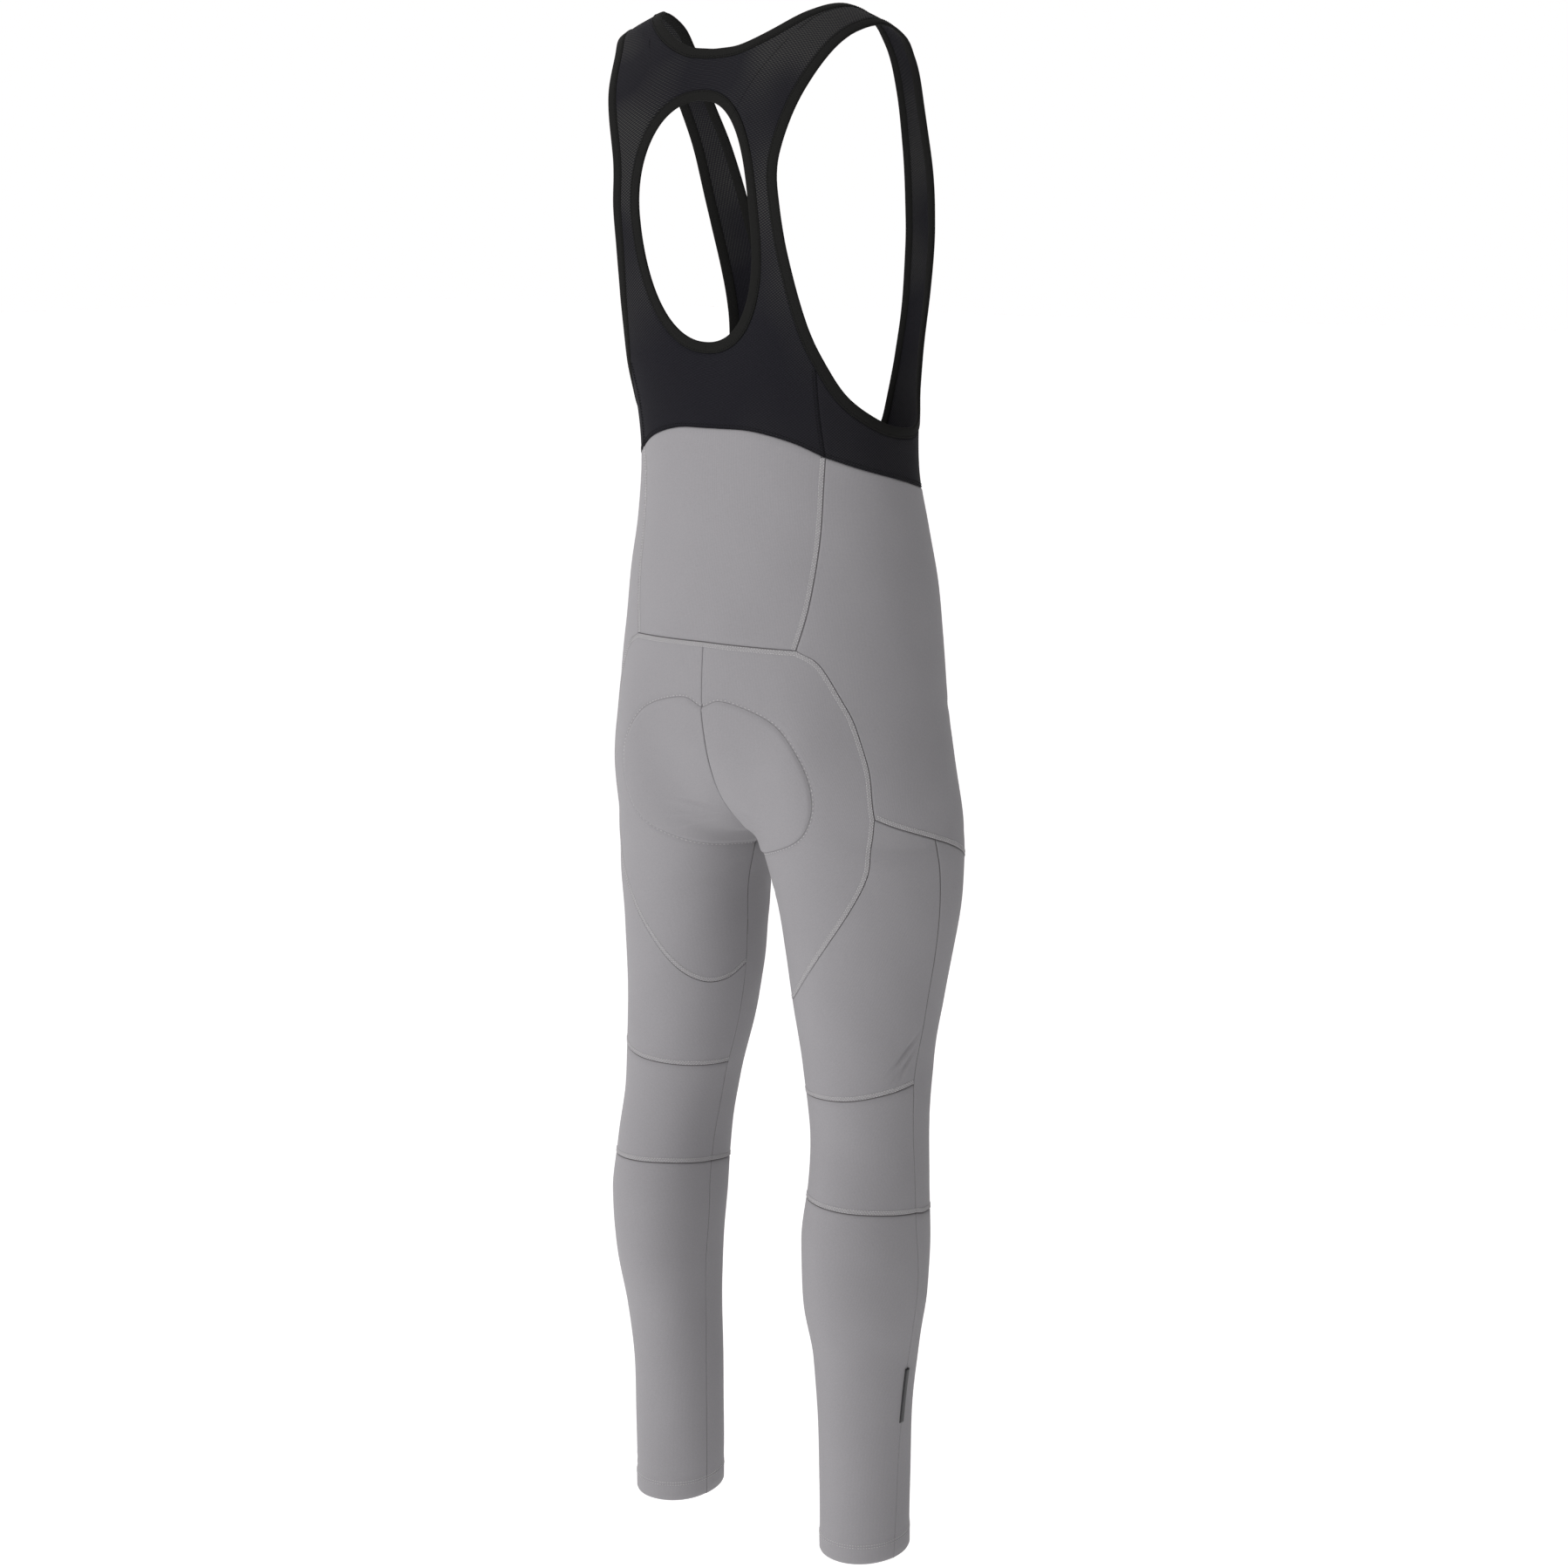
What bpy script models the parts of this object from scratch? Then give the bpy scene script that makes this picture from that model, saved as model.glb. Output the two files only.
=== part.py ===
"""Cycling tights with a bib, in the filled-out shape that they take when worn.

Metres, +Z up. The front faces -Y and the wearer's left is +X. The origin is in the middle of
the shoulder line, where the wearer's shoulders carry the straps.

One smooth surface carries every piece. It is a chart of the right half of the garment:
  turn   0 at the inside of the leg or the front middle, 0.5 at the outer side,
         1 at the inside of the leg or the back middle
  level  the height on the outer side, and above the armpits the way up and over the shoulder
Seams are curves in this chart. Each piece is a patchwork of triangles between its seams, given
the thickness of its cloth, and the left pieces are the right ones mirrored.
"""
import math

import bmesh
import bpy
import numpy as np

# Levels
HEM = -1.428
CROTCH = -0.735
HIP = -0.600
RIDGE = 0.050

# The shoulder line, and how far the straps fall along it
SHOULDER_BACK = 0.044
SHOULDER_FALL, FALL_POWER = 0.034, 3
FALL_FOOT, FALL_FADE = -0.30, 0.25
SHOULDER_REACH = 0.152
STRAP_MIDDLE = 0.117

# Cloth
KNIT = 0.0015
BIB_KNIT = 0.0013
HALF_GAP = 0.00015
BAND_WIDTH = 0.0095
BAND_LIFT = 0.0005
PAD_DEPTH = 0.0060
PAD_EDGE = 0.0020
PAD_CLEAR = 0.0035
TAB_DEPTH = 0.0010
TAB_CLEAR = 0.0007
MITER_LIMIT = 0.35
SHARP_ANGLE = math.radians(50)

# Sections of a leg: level, then distances out from the middle and back from the axis
LEG_COLUMNS = ("level", "inner", "outer", "front", "back", "skew")
LEG = (
    (-1.440, 0.0750, 0.1545, -0.0250, 0.0690, 0.00),
    (-1.300, 0.0740, 0.1555, -0.0260, 0.0720, -0.03),
    (-1.230, 0.0740, 0.1605, -0.0290, 0.0800, -0.10),
    (-1.170, 0.0705, 0.1680, -0.0350, 0.0940, -0.16),
    (-1.110, 0.0670, 0.1705, -0.0390, 0.0965, -0.11),
    (-1.060, 0.0665, 0.1690, -0.0400, 0.0860, -0.05),
    (-1.005, 0.0605, 0.1660, -0.0440, 0.0755, 0.00),
    (-0.950, 0.0490, 0.1655, -0.0540, 0.0750, 0.00),
    (-0.890, 0.0385, 0.1690, -0.0670, 0.0785, -0.07),
    (-0.840, 0.0335, 0.1740, -0.0760, 0.0830, -0.14),
    (-0.790, 0.0275, 0.1785, -0.0820, 0.0890, -0.19),
    (-0.755, 0.0185, 0.1790, -0.0860, 0.0940, -0.20),
    (-0.735, 0.0130, 0.1780, -0.0880, 0.0980, -0.20),
    (-0.600, 0.0130, 0.1720, -0.1100, 0.1300, 0.00),
)

# Sections of the body: level, height, half width, middle of the depth, depths to front and back
BODY_COLUMNS = ("level", "height", "outer", "middle", "front", "back", "squareness")
BODY = (
    (-0.735, -0.735, 0.1780, 0.004, 0.100, 0.117, 2.00),
    (-0.690, -0.690, 0.1740, 0.002, 0.113, 0.121, 2.00),
    (-0.640, -0.640, 0.1690, 0.002, 0.121, 0.121, 2.00),
    (-0.600, -0.600, 0.1645, 0.002, 0.121, 0.122, 2.05),
    (-0.550, -0.550, 0.1590, 0.002, 0.118, 0.119, 2.10),
    (-0.500, -0.500, 0.1540, 0.003, 0.115, 0.112, 2.10),
    (-0.450, -0.450, 0.1465, 0.005, 0.105, 0.102, 2.10),
    (-0.400, -0.400, 0.1390, 0.008, 0.097, 0.097, 2.15),
    (-0.350, -0.350, 0.1365, 0.012, 0.102, 0.096, 2.30),
    (-0.300, -0.300, 0.1410, 0.018, 0.107, 0.097, 2.60),
    (-0.240, -0.240, 0.1540, 0.026, 0.112, 0.099, 2.80),
    (-0.180, -0.180, 0.1700, 0.035, 0.108, 0.099, 3.00),
    (-0.120, -0.122, 0.1880, 0.043, 0.098, 0.090, 3.00),
    (-0.060, -0.068, 0.2020, 0.046, 0.077, 0.072, 3.00),
    (-0.010, -0.028, 0.2080, 0.046, 0.055, 0.045, 3.00),
    (0.020, -0.010, 0.2100, 0.044, 0.034, 0.029, 3.00),
    (0.050, 0.000, 0.2100, 0.044, 0.000, 0.000, 3.00),
    (0.080, -0.010, 0.2100, 0.044, -0.029, -0.034, 3.00),
)

# How fast the inside of the leg becomes the middle of the body, above the crotch, and how softly
BLEND_POWER = 4
BLEND_SOFT = 0.06

# The round arch between the legs: its height, and how it climbs and softens away from the middle
ARCH, ARCH_CLIMB, ARCH_SOFT = 0.020, 0.12, 0.12

# Rounding of the seat, which leaves the middle seam as it is
SEAT_TURN, SEAT_LEVEL, SEAT_RISE = 0.80, -0.640, 0.012
SEAT_TURN_SPREAD, SEAT_LEVEL_SPREAD = 0.10, 0.060
SEAT_POWER = 8

# The hollow along the spine of the bib: its depth and width, and where it starts and ends
SPINE_HOLLOW, SPINE_SPREAD = 0.006, 0.050
SPINE_FOOT, SPINE_FOOT_FADE = -0.36, 0.12
SPINE_TOP, SPINE_TOP_FADE = 0.03, 0.10

# How finely the surface's slopes and the seams' curves are worked out
SLOPE_STEP = 0.0015
CURVE_STEPS = 24

# Seams, as turn and level
BORDER_BACK = ((1.0, -0.359), (0.917, -0.360), (0.820, -0.369), (0.738, -0.382))
BORDER_FRONT = ((0.738, -0.382), (0.639, -0.393), (0.525, -0.403), (0.400, -0.413), (0.20, -0.422),
                (0.0, -0.425))
WAIST_SIDE = ((0.738, -0.382), (0.766, -0.460), (0.790, -0.515), (0.813, -0.551))
WAIST_FOOT = ((1.0, -0.549), (0.900, -0.550), (0.813, -0.551))
SEAT_UPPER = ((0.813, -0.551), (0.763, -0.564), (0.710, -0.602), (0.677, -0.631), (0.645, -0.663),
              (0.630, -0.703))
SEAT_LOWER = ((0.630, -0.703), (0.637, -0.727), (0.662, -0.767), (0.740, -0.826),
              (0.820, -0.869), (0.886, -0.887), (0.945, -0.888), (1.0, -0.876))
CROSS_BACK = ((0.630, -0.703), (0.594, -0.713), (0.530, -0.728))
CROSS_FRONT = ((0.530, -0.728), (0.450, -0.746), (0.377, -0.762), (0.250, -0.776), (0.110, -0.762),
               (0.0, CROTCH))
BACK_MIDDLE = ((1.0, -0.549), (1.0, -0.600), (1.0, -0.650), (1.0, -0.690), (1.0, -0.720), (1.0, CROTCH))
FRONT_MIDDLE = ((0.0, -0.425), (0.0, -0.520), (0.0, -0.620), (0.0, -0.690), (0.0, -0.720), (0.0, CROTCH))
INSEAM_TOP = ((1.0, CROTCH), (1.0, -0.800), (1.0, -0.876))
INSEAM_THIGH = ((1.0, -0.876), (0.995, -0.930), (0.990, -0.977))
INSEAM_KNEE = ((0.990, -0.977), (0.997, -1.030), (1.0, -1.077))
INSEAM_CALF = ((1.0, -1.077), (1.012, -1.140), (1.008, -1.200), (0.982, -1.310), (0.978, HEM))
OUTSEAM_THIGH = ((0.530, -0.728), (0.520, -0.770), (0.514, -0.850), (0.513, -0.910), (0.522, -0.958))
OUTSEAM_KNEE = ((0.522, -0.958), (0.512, -1.020), (0.500, -1.081))
OUTSEAM_CALF = ((0.500, -1.081), (0.487, -1.140), (0.490, -1.200), (0.504, -1.290), (0.530, HEM))
KNEE_UPPER = ((0.522, -0.958), (0.600, -0.963), (0.700, -0.969), (0.800, -0.972), (0.990, -0.977))
KNEE_LOWER = ((0.500, -1.081), (0.650, -1.073), (0.850, -1.070), (1.0, -1.077))
KNEE_FRONT = ((0.500, -1.081), (0.446, -1.086), (0.250, -1.095), (0.0, -1.077))
HEM_BACK = ((0.530, HEM), (0.750, HEM), (0.978, HEM))
HEM_FRONT = ((0.530, HEM), (0.250, HEM), (-0.022, HEM))

# Edges of the bib, as distance out and level, on its back and on its front
NECK_BACK = ((0.0, -0.0345), (0.030, -0.030), (0.057, -0.012), (0.081, 0.017), (0.100, RIDGE))
NECK_FRONT = ((0.100, RIDGE), (0.106, 0.000), (0.105, -0.060), (0.098, -0.110), (0.091, -0.160),
              (0.084, -0.205), (0.071, -0.280), (0.052, -0.358), (0.028, -0.381), (0.0, -0.388))
ARMHOLE_BACK = ((0.143, RIDGE), (0.123, -0.010), (0.108, -0.065), (0.0945, -0.115), (0.0905, -0.140),
                (0.092, -0.165), (0.095, -0.206), (0.1035, -0.265), (0.1125, -0.300), (0.1225, -0.330))
ARMPIT = ((0.570, -0.350), (0.490, -0.358), (0.410, -0.357))
ARMHOLE_FRONT = ((0.1180, -0.342), (0.1120, -0.316), (0.1130, -0.275), (0.1215, -0.220), (0.1295, -0.165),
                 (0.1345, -0.090), (0.140, -0.020), (0.143, RIDGE))
CUTOUT_LEVEL, CUTOUT_RISE, CUTOUT_HALF, CUTOUT_ROUND = -0.184, 0.099, 0.0615, 2.2
NECK_STOPS = (7,)
ARMHOLE_STOPS = (8, 14)

# Rows of the pad: the level on the middle, then the turn and level of its edge
PAD_BACK = ((-0.600, 0.955, -0.600), (-0.620, 0.860, -0.614), (-0.645, 0.795, -0.640),
            (-0.672, 0.748, -0.672), (-0.695, 0.738, -0.702), (-0.714, 0.775, -0.728),
            (-0.727, 0.880, -0.746), (CROTCH, 1.0, -0.754))
PAD_FRONT = ((-0.727, 0.095, -0.748), (-0.712, 0.130, -0.730), (-0.685, 0.140, -0.700),
             (-0.655, 0.120, -0.665), (-0.635, 0.060, -0.640))

# The small folded tab in the right outer seam
TAB_TOP, TAB_FOOT, TAB_HALF = -1.238, -1.292, 0.0028
TAB_ROWS, TAB_CURVE = 5, 60

# Pieces along each seam
SPANS = {
    "border_back": 6, "border_front": 12, "waist_side": 5, "waist_foot": 6, "seat_upper": 6,
    "seat_lower": 15, "back_middle": 9, "cross_back": 2, "cross_front": 10, "inseam_top": 6,
    "thigh": 6, "knee": 3, "calf": 8, "bib_side": 3, "bib_middle": 3, "shoulder": 3, "neck_back": 7,
    "neck_scoop": 2, "neck_strap": 12, "armhole_back": 13, "armpit": 7, "cutout_layers": 3,
    "pad_columns": 8,
}

COLORS = {
    "knit": (0.330, 0.322, 0.325, 1.0),
    "bib": (0.016, 0.016, 0.021, 1.0),
    "band": (0.010, 0.010, 0.010, 1.0),
    "pad": (0.045, 0.045, 0.050, 1.0),
    "tab": (0.030, 0.030, 0.032, 1.0),
}
ROUGHNESS = {"knit": 0.85, "bib": 0.80, "band": 0.70, "pad": 0.95, "tab": 0.35}


def column(table, names, name, level):
    """The named column of a table of sections, smooth between its rows and never beyond them."""
    levels = np.array([row[0] for row in table])
    values = np.array([row[names.index(name)] for row in table])
    steps = np.diff(values) / np.diff(levels)
    before, after = np.append(steps[0], steps), np.append(steps, steps[-1])
    steepest = 3 * np.minimum(np.abs(before), np.abs(after)) * (before * after > 0)
    slopes = np.clip(np.gradient(values, levels), -steepest, steepest)
    level = np.clip(level, levels[0], levels[-1])
    i = np.clip(np.searchsorted(levels, level) - 1, 0, len(levels) - 2)
    span = levels[i + 1] - levels[i]
    t = (level - levels[i]) / span
    near = (1 + 2 * t) * (1 - t) ** 2 * values[i] + t * (1 - t) ** 2 * span * slopes[i]
    far = t * t * (3 - 2 * t) * values[i + 1] + t * t * (t - 1) * span * slopes[i + 1]
    return near + far


def ease(t):
    t = np.clip(t, 0.0, 1.0)
    return t * t * (3 - 2 * t)


def middle_share(turn):
    """1 on the inside of the leg, 0 on the outer side."""
    return np.cos(math.pi * turn) ** BLEND_POWER


def soft(amount, width):
    """The amount where it is above zero, else zero, with a rounded corner of that width."""
    return (amount + np.sqrt(amount * amount + width * width)) / 2


def leg_point(turn, level):
    """A leg's section: an ellipse, skewed where the calf and the thigh turn outwards."""
    inner, outer, front, back, skew = (
        column(LEG, LEG_COLUMNS, name, level) for name in LEG_COLUMNS[1:])
    beside = middle_share(turn) * (1 - middle_share(turn))
    below = soft(CROTCH + ARCH_CLIMB * beside - level, ARCH_SOFT * beside)
    below = np.clip(below / ARCH, 0.0, 1.0)
    inner = inner * np.sqrt(2 * below - below * below)
    angle = 2 * math.pi * turn - math.pi / 2
    middle_out = (inner + outer) / 2
    out = middle_out + (outer - inner) / 2 * np.sin(angle)
    depth = (front + back) / 2 - (back - front) / 2 * np.cos(angle) + skew * (out - middle_out)
    return out, depth


def body_point(turn, level):
    """The body's section: half an oval, with its own depth to the front and to the back."""
    height, outer, middle, front, back, squareness = (
        column(BODY, BODY_COLUMNS, name, level) for name in BODY_COLUMNS[1:])
    along = np.cos(math.pi * turn)
    across = np.abs(np.sin(math.pi * turn))
    out = outer * across ** (2 / squareness)
    reach = np.where(along > 0, front, back)
    depth = middle - reach * np.sign(along) * np.abs(along) ** (2 / squareness)
    fall = (out / SHOULDER_REACH) ** FALL_POWER - (STRAP_MIDDLE / SHOULDER_REACH) ** FALL_POWER
    height = height - SHOULDER_FALL * ease((level - FALL_FOOT) / FALL_FADE) * fall
    return out, depth, height, along


def form(turn, level):
    """The outer surface of the right half, as distance out, back and up."""
    turn, level = np.broadcast_arrays(np.asarray(turn, float), np.asarray(level, float))
    ends = middle_share(turn)
    climb = soft(level - CROTCH, BLEND_SOFT * ends * (1 - ends))
    climb = np.clip(climb / (HIP - CROTCH), 0.0, 1.0)
    share = ends * np.sqrt(2 * climb - climb * climb) + (1 - ends) * ease(climb)
    leg_out, leg_depth = leg_point(turn, level)
    body_out, body_depth, body_height, along = body_point(turn, level)
    out = (1 - share) * leg_out + share * body_out
    depth = (1 - share) * leg_depth + share * body_depth
    height = np.where(level > HIP, body_height, level)
    seat = ((turn - SEAT_TURN) / SEAT_TURN_SPREAD) ** 2 + ((level - SEAT_LEVEL) / SEAT_LEVEL_SPREAD) ** 2
    depth = depth + SEAT_RISE * np.exp(-seat) * (1 - np.cos(math.pi * turn) ** SEAT_POWER)
    spine = ease((level - SPINE_FOOT) / SPINE_FOOT_FADE) * ease((SPINE_TOP - level) / SPINE_TOP_FADE)
    spine = spine * (along < 0)
    depth = depth - SPINE_HOLLOW * spine * np.exp(-(out / SPINE_SPREAD) ** 2)
    return np.stack([out, depth, height], -1)


def on_middle(chart):
    """True where a chart point is in the plane between the two halves."""
    turn, level = chart[..., 0], chart[..., 1]
    return (level > CROTCH - 1e-9) & ((np.abs(turn) < 1e-9) | (np.abs(turn - 1) < 1e-9))


def slopes(chart):
    """How the surface moves with turn and with level."""
    turn, level = chart[..., 0], chart[..., 1]
    step = SLOPE_STEP
    high_turn = np.where((level > CROTCH) & (turn > 1 - step), turn, turn + step)
    low_turn = np.where((level > CROTCH) & (turn < step), turn, turn - step)
    across = (form(high_turn, level) - form(low_turn, level)) / (high_turn - low_turn)[..., None]
    upward = (form(turn, level + step) - form(turn, level - step)) / (2 * step)
    return across, upward


def normals(chart):
    """The surface's outward directions."""
    across, upward = slopes(chart)
    direction = np.cross(across, upward)
    direction[..., 0] = np.where(on_middle(chart), 0.0, direction[..., 0])
    return direction / np.linalg.norm(direction, axis=-1, keepdims=True)


def surface(chart):
    """Points of the outer surface, exactly in the middle plane where they belong there."""
    points = form(chart[..., 0], chart[..., 1])
    points[..., 0] = np.where(on_middle(chart), 0.0, points[..., 0])
    return points


def turn_at(out, level, back):
    """The turn at a distance out from the middle, on the body's back or front."""
    outer = column(BODY, BODY_COLUMNS, "outer", level)
    squareness = column(BODY, BODY_COLUMNS, "squareness", level)
    part = np.arcsin(np.clip(out / outer, 0.0, 1.0) ** (squareness / 2)) / math.pi
    return np.where(back, 1 - part, part)


def sheet(points, back):
    """Distances out and levels, turned into chart points."""
    points = np.array(points)
    return np.stack([turn_at(points[:, 0], points[:, 1], back), points[:, 1]], -1)


def trace(points, spans, stops=None):
    """A smooth curve through chart points, cut into equal lengths between its stops."""
    points = np.array(points, float)
    spans = [spans] if stops is None else spans
    stops = [0, len(points) - 1] if stops is None else [0] + list(stops) + [len(points) - 1]
    before = np.vstack([2 * points[0] - points[1], points[:-1]])
    after = np.vstack([points[1:], 2 * points[-1] - points[-2]])
    pull = (after - before) / 2
    steps = np.linspace(0, 1, CURVE_STEPS + 1)[:-1, None]
    parts = []
    for a, b, pull_a, pull_b in zip(points, points[1:], pull, pull[1:]):
        near = (1 + 2 * steps) * (1 - steps) ** 2 * a + steps * (1 - steps) ** 2 * pull_a
        far = steps ** 2 * (3 - 2 * steps) * b + steps ** 2 * (steps - 1) * pull_b
        parts.append(near + far)
    dense = np.vstack(parts + [points[-1:]])
    lengths = np.linalg.norm(np.diff(surface(dense), axis=0), axis=1)
    run = np.concatenate([[0.0], np.cumsum(lengths)])
    wanted = [[0.0]]
    for first, last, count in zip(stops, stops[1:], spans):
        wanted.append(np.linspace(run[CURVE_STEPS * first], run[CURVE_STEPS * last], count + 1)[1:])
    wanted = np.concatenate(wanted)
    curve = np.stack([np.interp(wanted, run, dense[:, k]) for k in range(2)], -1)
    curve[0] = points[0]
    curve[-1] = points[-1]
    return curve


def shift(chart, sideways):
    """Chart points moved a distance along the surface, square to the curve that they lie on."""
    points = surface(chart)
    along = np.gradient(points, axis=0)
    along /= np.linalg.norm(along, axis=1, keepdims=True)
    move = np.cross(normals(chart), along) * sideways
    across, upward = slopes(chart)
    moved = chart.copy()
    for i in range(len(chart)):
        basis = np.stack([across[i], upward[i]], -1)
        moved[i] += np.linalg.lstsq(basis, move[i], rcond=None)[0]
    return moved


def fill(bottom, top, left, right):
    """A grid between four sides that meet at their ends, in the chart."""
    s = np.linspace(0, 1, len(bottom))[None, :, None]
    t = np.linspace(0, 1, len(left))[:, None, None]
    ruled = (1 - t) * bottom[None] + t * top[None] + (1 - s) * left[:, None] + s * right[:, None]
    corners = ((1 - s) * (1 - t) * bottom[0] + s * (1 - t) * bottom[-1]
               + (1 - s) * t * top[0] + s * t * top[-1])
    return ruled - corners


def doubled(rows):
    """The same rows, with one more halfway between each two."""
    return np.insert(rows, range(1, len(rows)), (rows[1:] + rows[:-1]) / 2, axis=0)


def join(*curves):
    """Curves end to end, each shared point once."""
    return np.vstack([curves[0]] + [curve[1:] for curve in curves[1:]])


def around(curve):
    """A curve on the inside of the leg, counted from the front of it."""
    return curve - np.array([1.0, 0.0])


class Sheet:
    """Triangles gathered from grids of points, welded where the grids share points."""

    def __init__(self):
        self.index = {}
        self.points = []
        self.normals = []
        self.faces = []

    def vertex(self, point, normal):
        key = tuple(int(round(value * 1e6)) for value in point)
        if key not in self.index:
            self.index[key] = len(self.points)
            self.points.append(point)
            self.normals.append(normal)
        return self.index[key]

    def add(self, grid, side):
        """Add a grid of chart points on the right (-1) or the left (+1).

        Each cell is split along the diagonal that stays nearer to the surface.
        """
        flip = np.array([side, 1.0, 1.0])
        points = surface(grid) * flip
        falling = surface((grid[:-1, :-1] + grid[1:, 1:]) / 2) * flip
        falling = np.linalg.norm(falling - (points[:-1, :-1] + points[1:, 1:]) / 2, axis=-1)
        rising = surface((grid[:-1, 1:] + grid[1:, :-1]) / 2) * flip
        rising = np.linalg.norm(rising - (points[:-1, 1:] + points[1:, :-1]) / 2, axis=-1)
        directions = normals(grid) * flip
        rows, columns = grid.shape[:2]
        ids = [[self.vertex(points[i, j], directions[i, j]) for j in range(columns)]
               for i in range(rows)]
        for i in range(rows - 1):
            for j in range(columns - 1):
                a, b, c, d = ids[i][j], ids[i][j + 1], ids[i + 1][j + 1], ids[i + 1][j]
                near = falling[i, j] < rising[i, j]
                self.faces += [(a, b, c), (a, c, d)] if near else [(a, b, d), (b, c, d)]

    def rim(self):
        """The directed edges that only one triangle has."""
        edges = {}
        for face in self.faces:
            for a, b in zip(face, face[1:] + face[:1]):
                edges[(a, b)] = edges.get((a, b), 0) + 1
        return [(a, b) for a, b in edges if (b, a) not in edges]

    def settle(self):
        """Take each point's direction from the triangles round it, for cloth that shares no seam."""
        points = np.array(self.points)
        turned = np.zeros_like(points)
        for face in self.faces:
            a, b, c = points[list(face)]
            turned[list(face)] += np.cross(b - a, c - a)
        turned /= np.linalg.norm(turned, axis=1, keepdims=True)
        same = (turned * np.array(self.normals)).sum(axis=1, keepdims=True) > 0
        self.normals = list(np.where(same, turned, -turned))

    def inset(self, distance):
        """Move the rim inwards along the cloth, the same distance from every rim edge."""
        points = np.array(self.points)
        directions = np.array(self.normals)
        middle = {}
        for face in self.faces:
            for a, b in zip(face, face[1:] + face[:1]):
                middle[(a, b)] = points[list(face)].mean(axis=0)
        inward = {}
        for a, b in self.rim():
            along = points[b] - points[a]
            for end in (a, b):
                square = np.cross(directions[end], along)
                square /= np.linalg.norm(square)
                if np.dot(square, middle[(a, b)] - points[a]) < 0:
                    square = -square
                inward.setdefault(end, []).append(square)
        for i, squares in inward.items():
            first, last = squares[0], squares[-1]
            points[i] += distance * (first + last) / max(1 + np.dot(first, last), MITER_LIMIT)
        return points, directions, sorted(inward)


def material(name):
    made = bpy.data.materials.new(name)
    made.use_nodes = True
    shader = made.node_tree.nodes["Principled BSDF"]
    shader.inputs["Base Color"].default_value = COLORS[name]
    shader.inputs["Roughness"].default_value = ROUGHNESS[name]
    made.diffuse_color = COLORS[name]
    return made


def place(name, points, faces, finish):
    """A closed mesh as a named object, moved so that the shoulder line is at the origin."""
    points = np.array(points) - np.array([0.0, SHOULDER_BACK, 0.0])
    mesh = bpy.data.meshes.new(name)
    mesh.from_pydata([tuple(point) for point in points], [], faces)
    work = bmesh.new()
    work.from_mesh(mesh)
    bmesh.ops.recalc_face_normals(work, faces=work.faces)
    work.to_mesh(mesh)
    work.free()
    mesh.shade_smooth()
    mesh.set_sharp_from_angle(angle=SHARP_ANGLE)
    mesh.materials.append(finish)
    made = bpy.data.objects.new(name, mesh)
    bpy.context.scene.collection.objects.link(made)
    return made


def solid(name, cloth, finish, depth, lift=0.0, edge_depth=None):
    """Give a sheet its thickness, measured inwards from the surface, and close its rim."""
    points, directions, rim_points = cloth.inset(HALF_GAP)
    depths = np.full(len(points), depth)
    if edge_depth is not None:
        depths[rim_points] = edge_depth
    outer = points + directions * lift
    inner = points + directions * (lift - depths)[:, None]
    count = len(points)
    faces = list(cloth.faces)
    faces += [tuple(i + count for i in reversed(face)) for face in cloth.faces]
    faces += [(b, a, a + count, b + count) for a, b in cloth.rim()]
    return place(name, np.vstack([outer, inner]), faces, finish)


def band(name, edge, seam, sides, finish):
    """A closed binding between the free edge and the seam, proud of the cloth on both faces."""
    ring = []
    for edge_point, seam_point, side in zip(edge, seam, sides):
        flip = np.array([side, 1.0, 1.0])
        free, sewn = surface(edge_point) * flip, surface(seam_point) * flip
        free_up, sewn_up = normals(edge_point) * flip, normals(seam_point) * flip
        inward = (free - sewn) / np.linalg.norm(free - sewn)
        sewn = sewn + inward * HALF_GAP
        depth = BIB_KNIT + BAND_LIFT
        ring.append((sewn + sewn_up * BAND_LIFT, free + free_up * BAND_LIFT,
                     free - free_up * depth, sewn - sewn_up * depth))
    count = len(ring)
    faces = []
    for i in range(count):
        for k in range(4):
            a, b = 4 * i + k, 4 * i + (k + 1) % 4
            c, d = 4 * ((i + 1) % count) + (k + 1) % 4, 4 * ((i + 1) % count) + k
            faces.append((a, b, c, d))
    return place(name, [point for section in ring for point in section], faces, finish)


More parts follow.
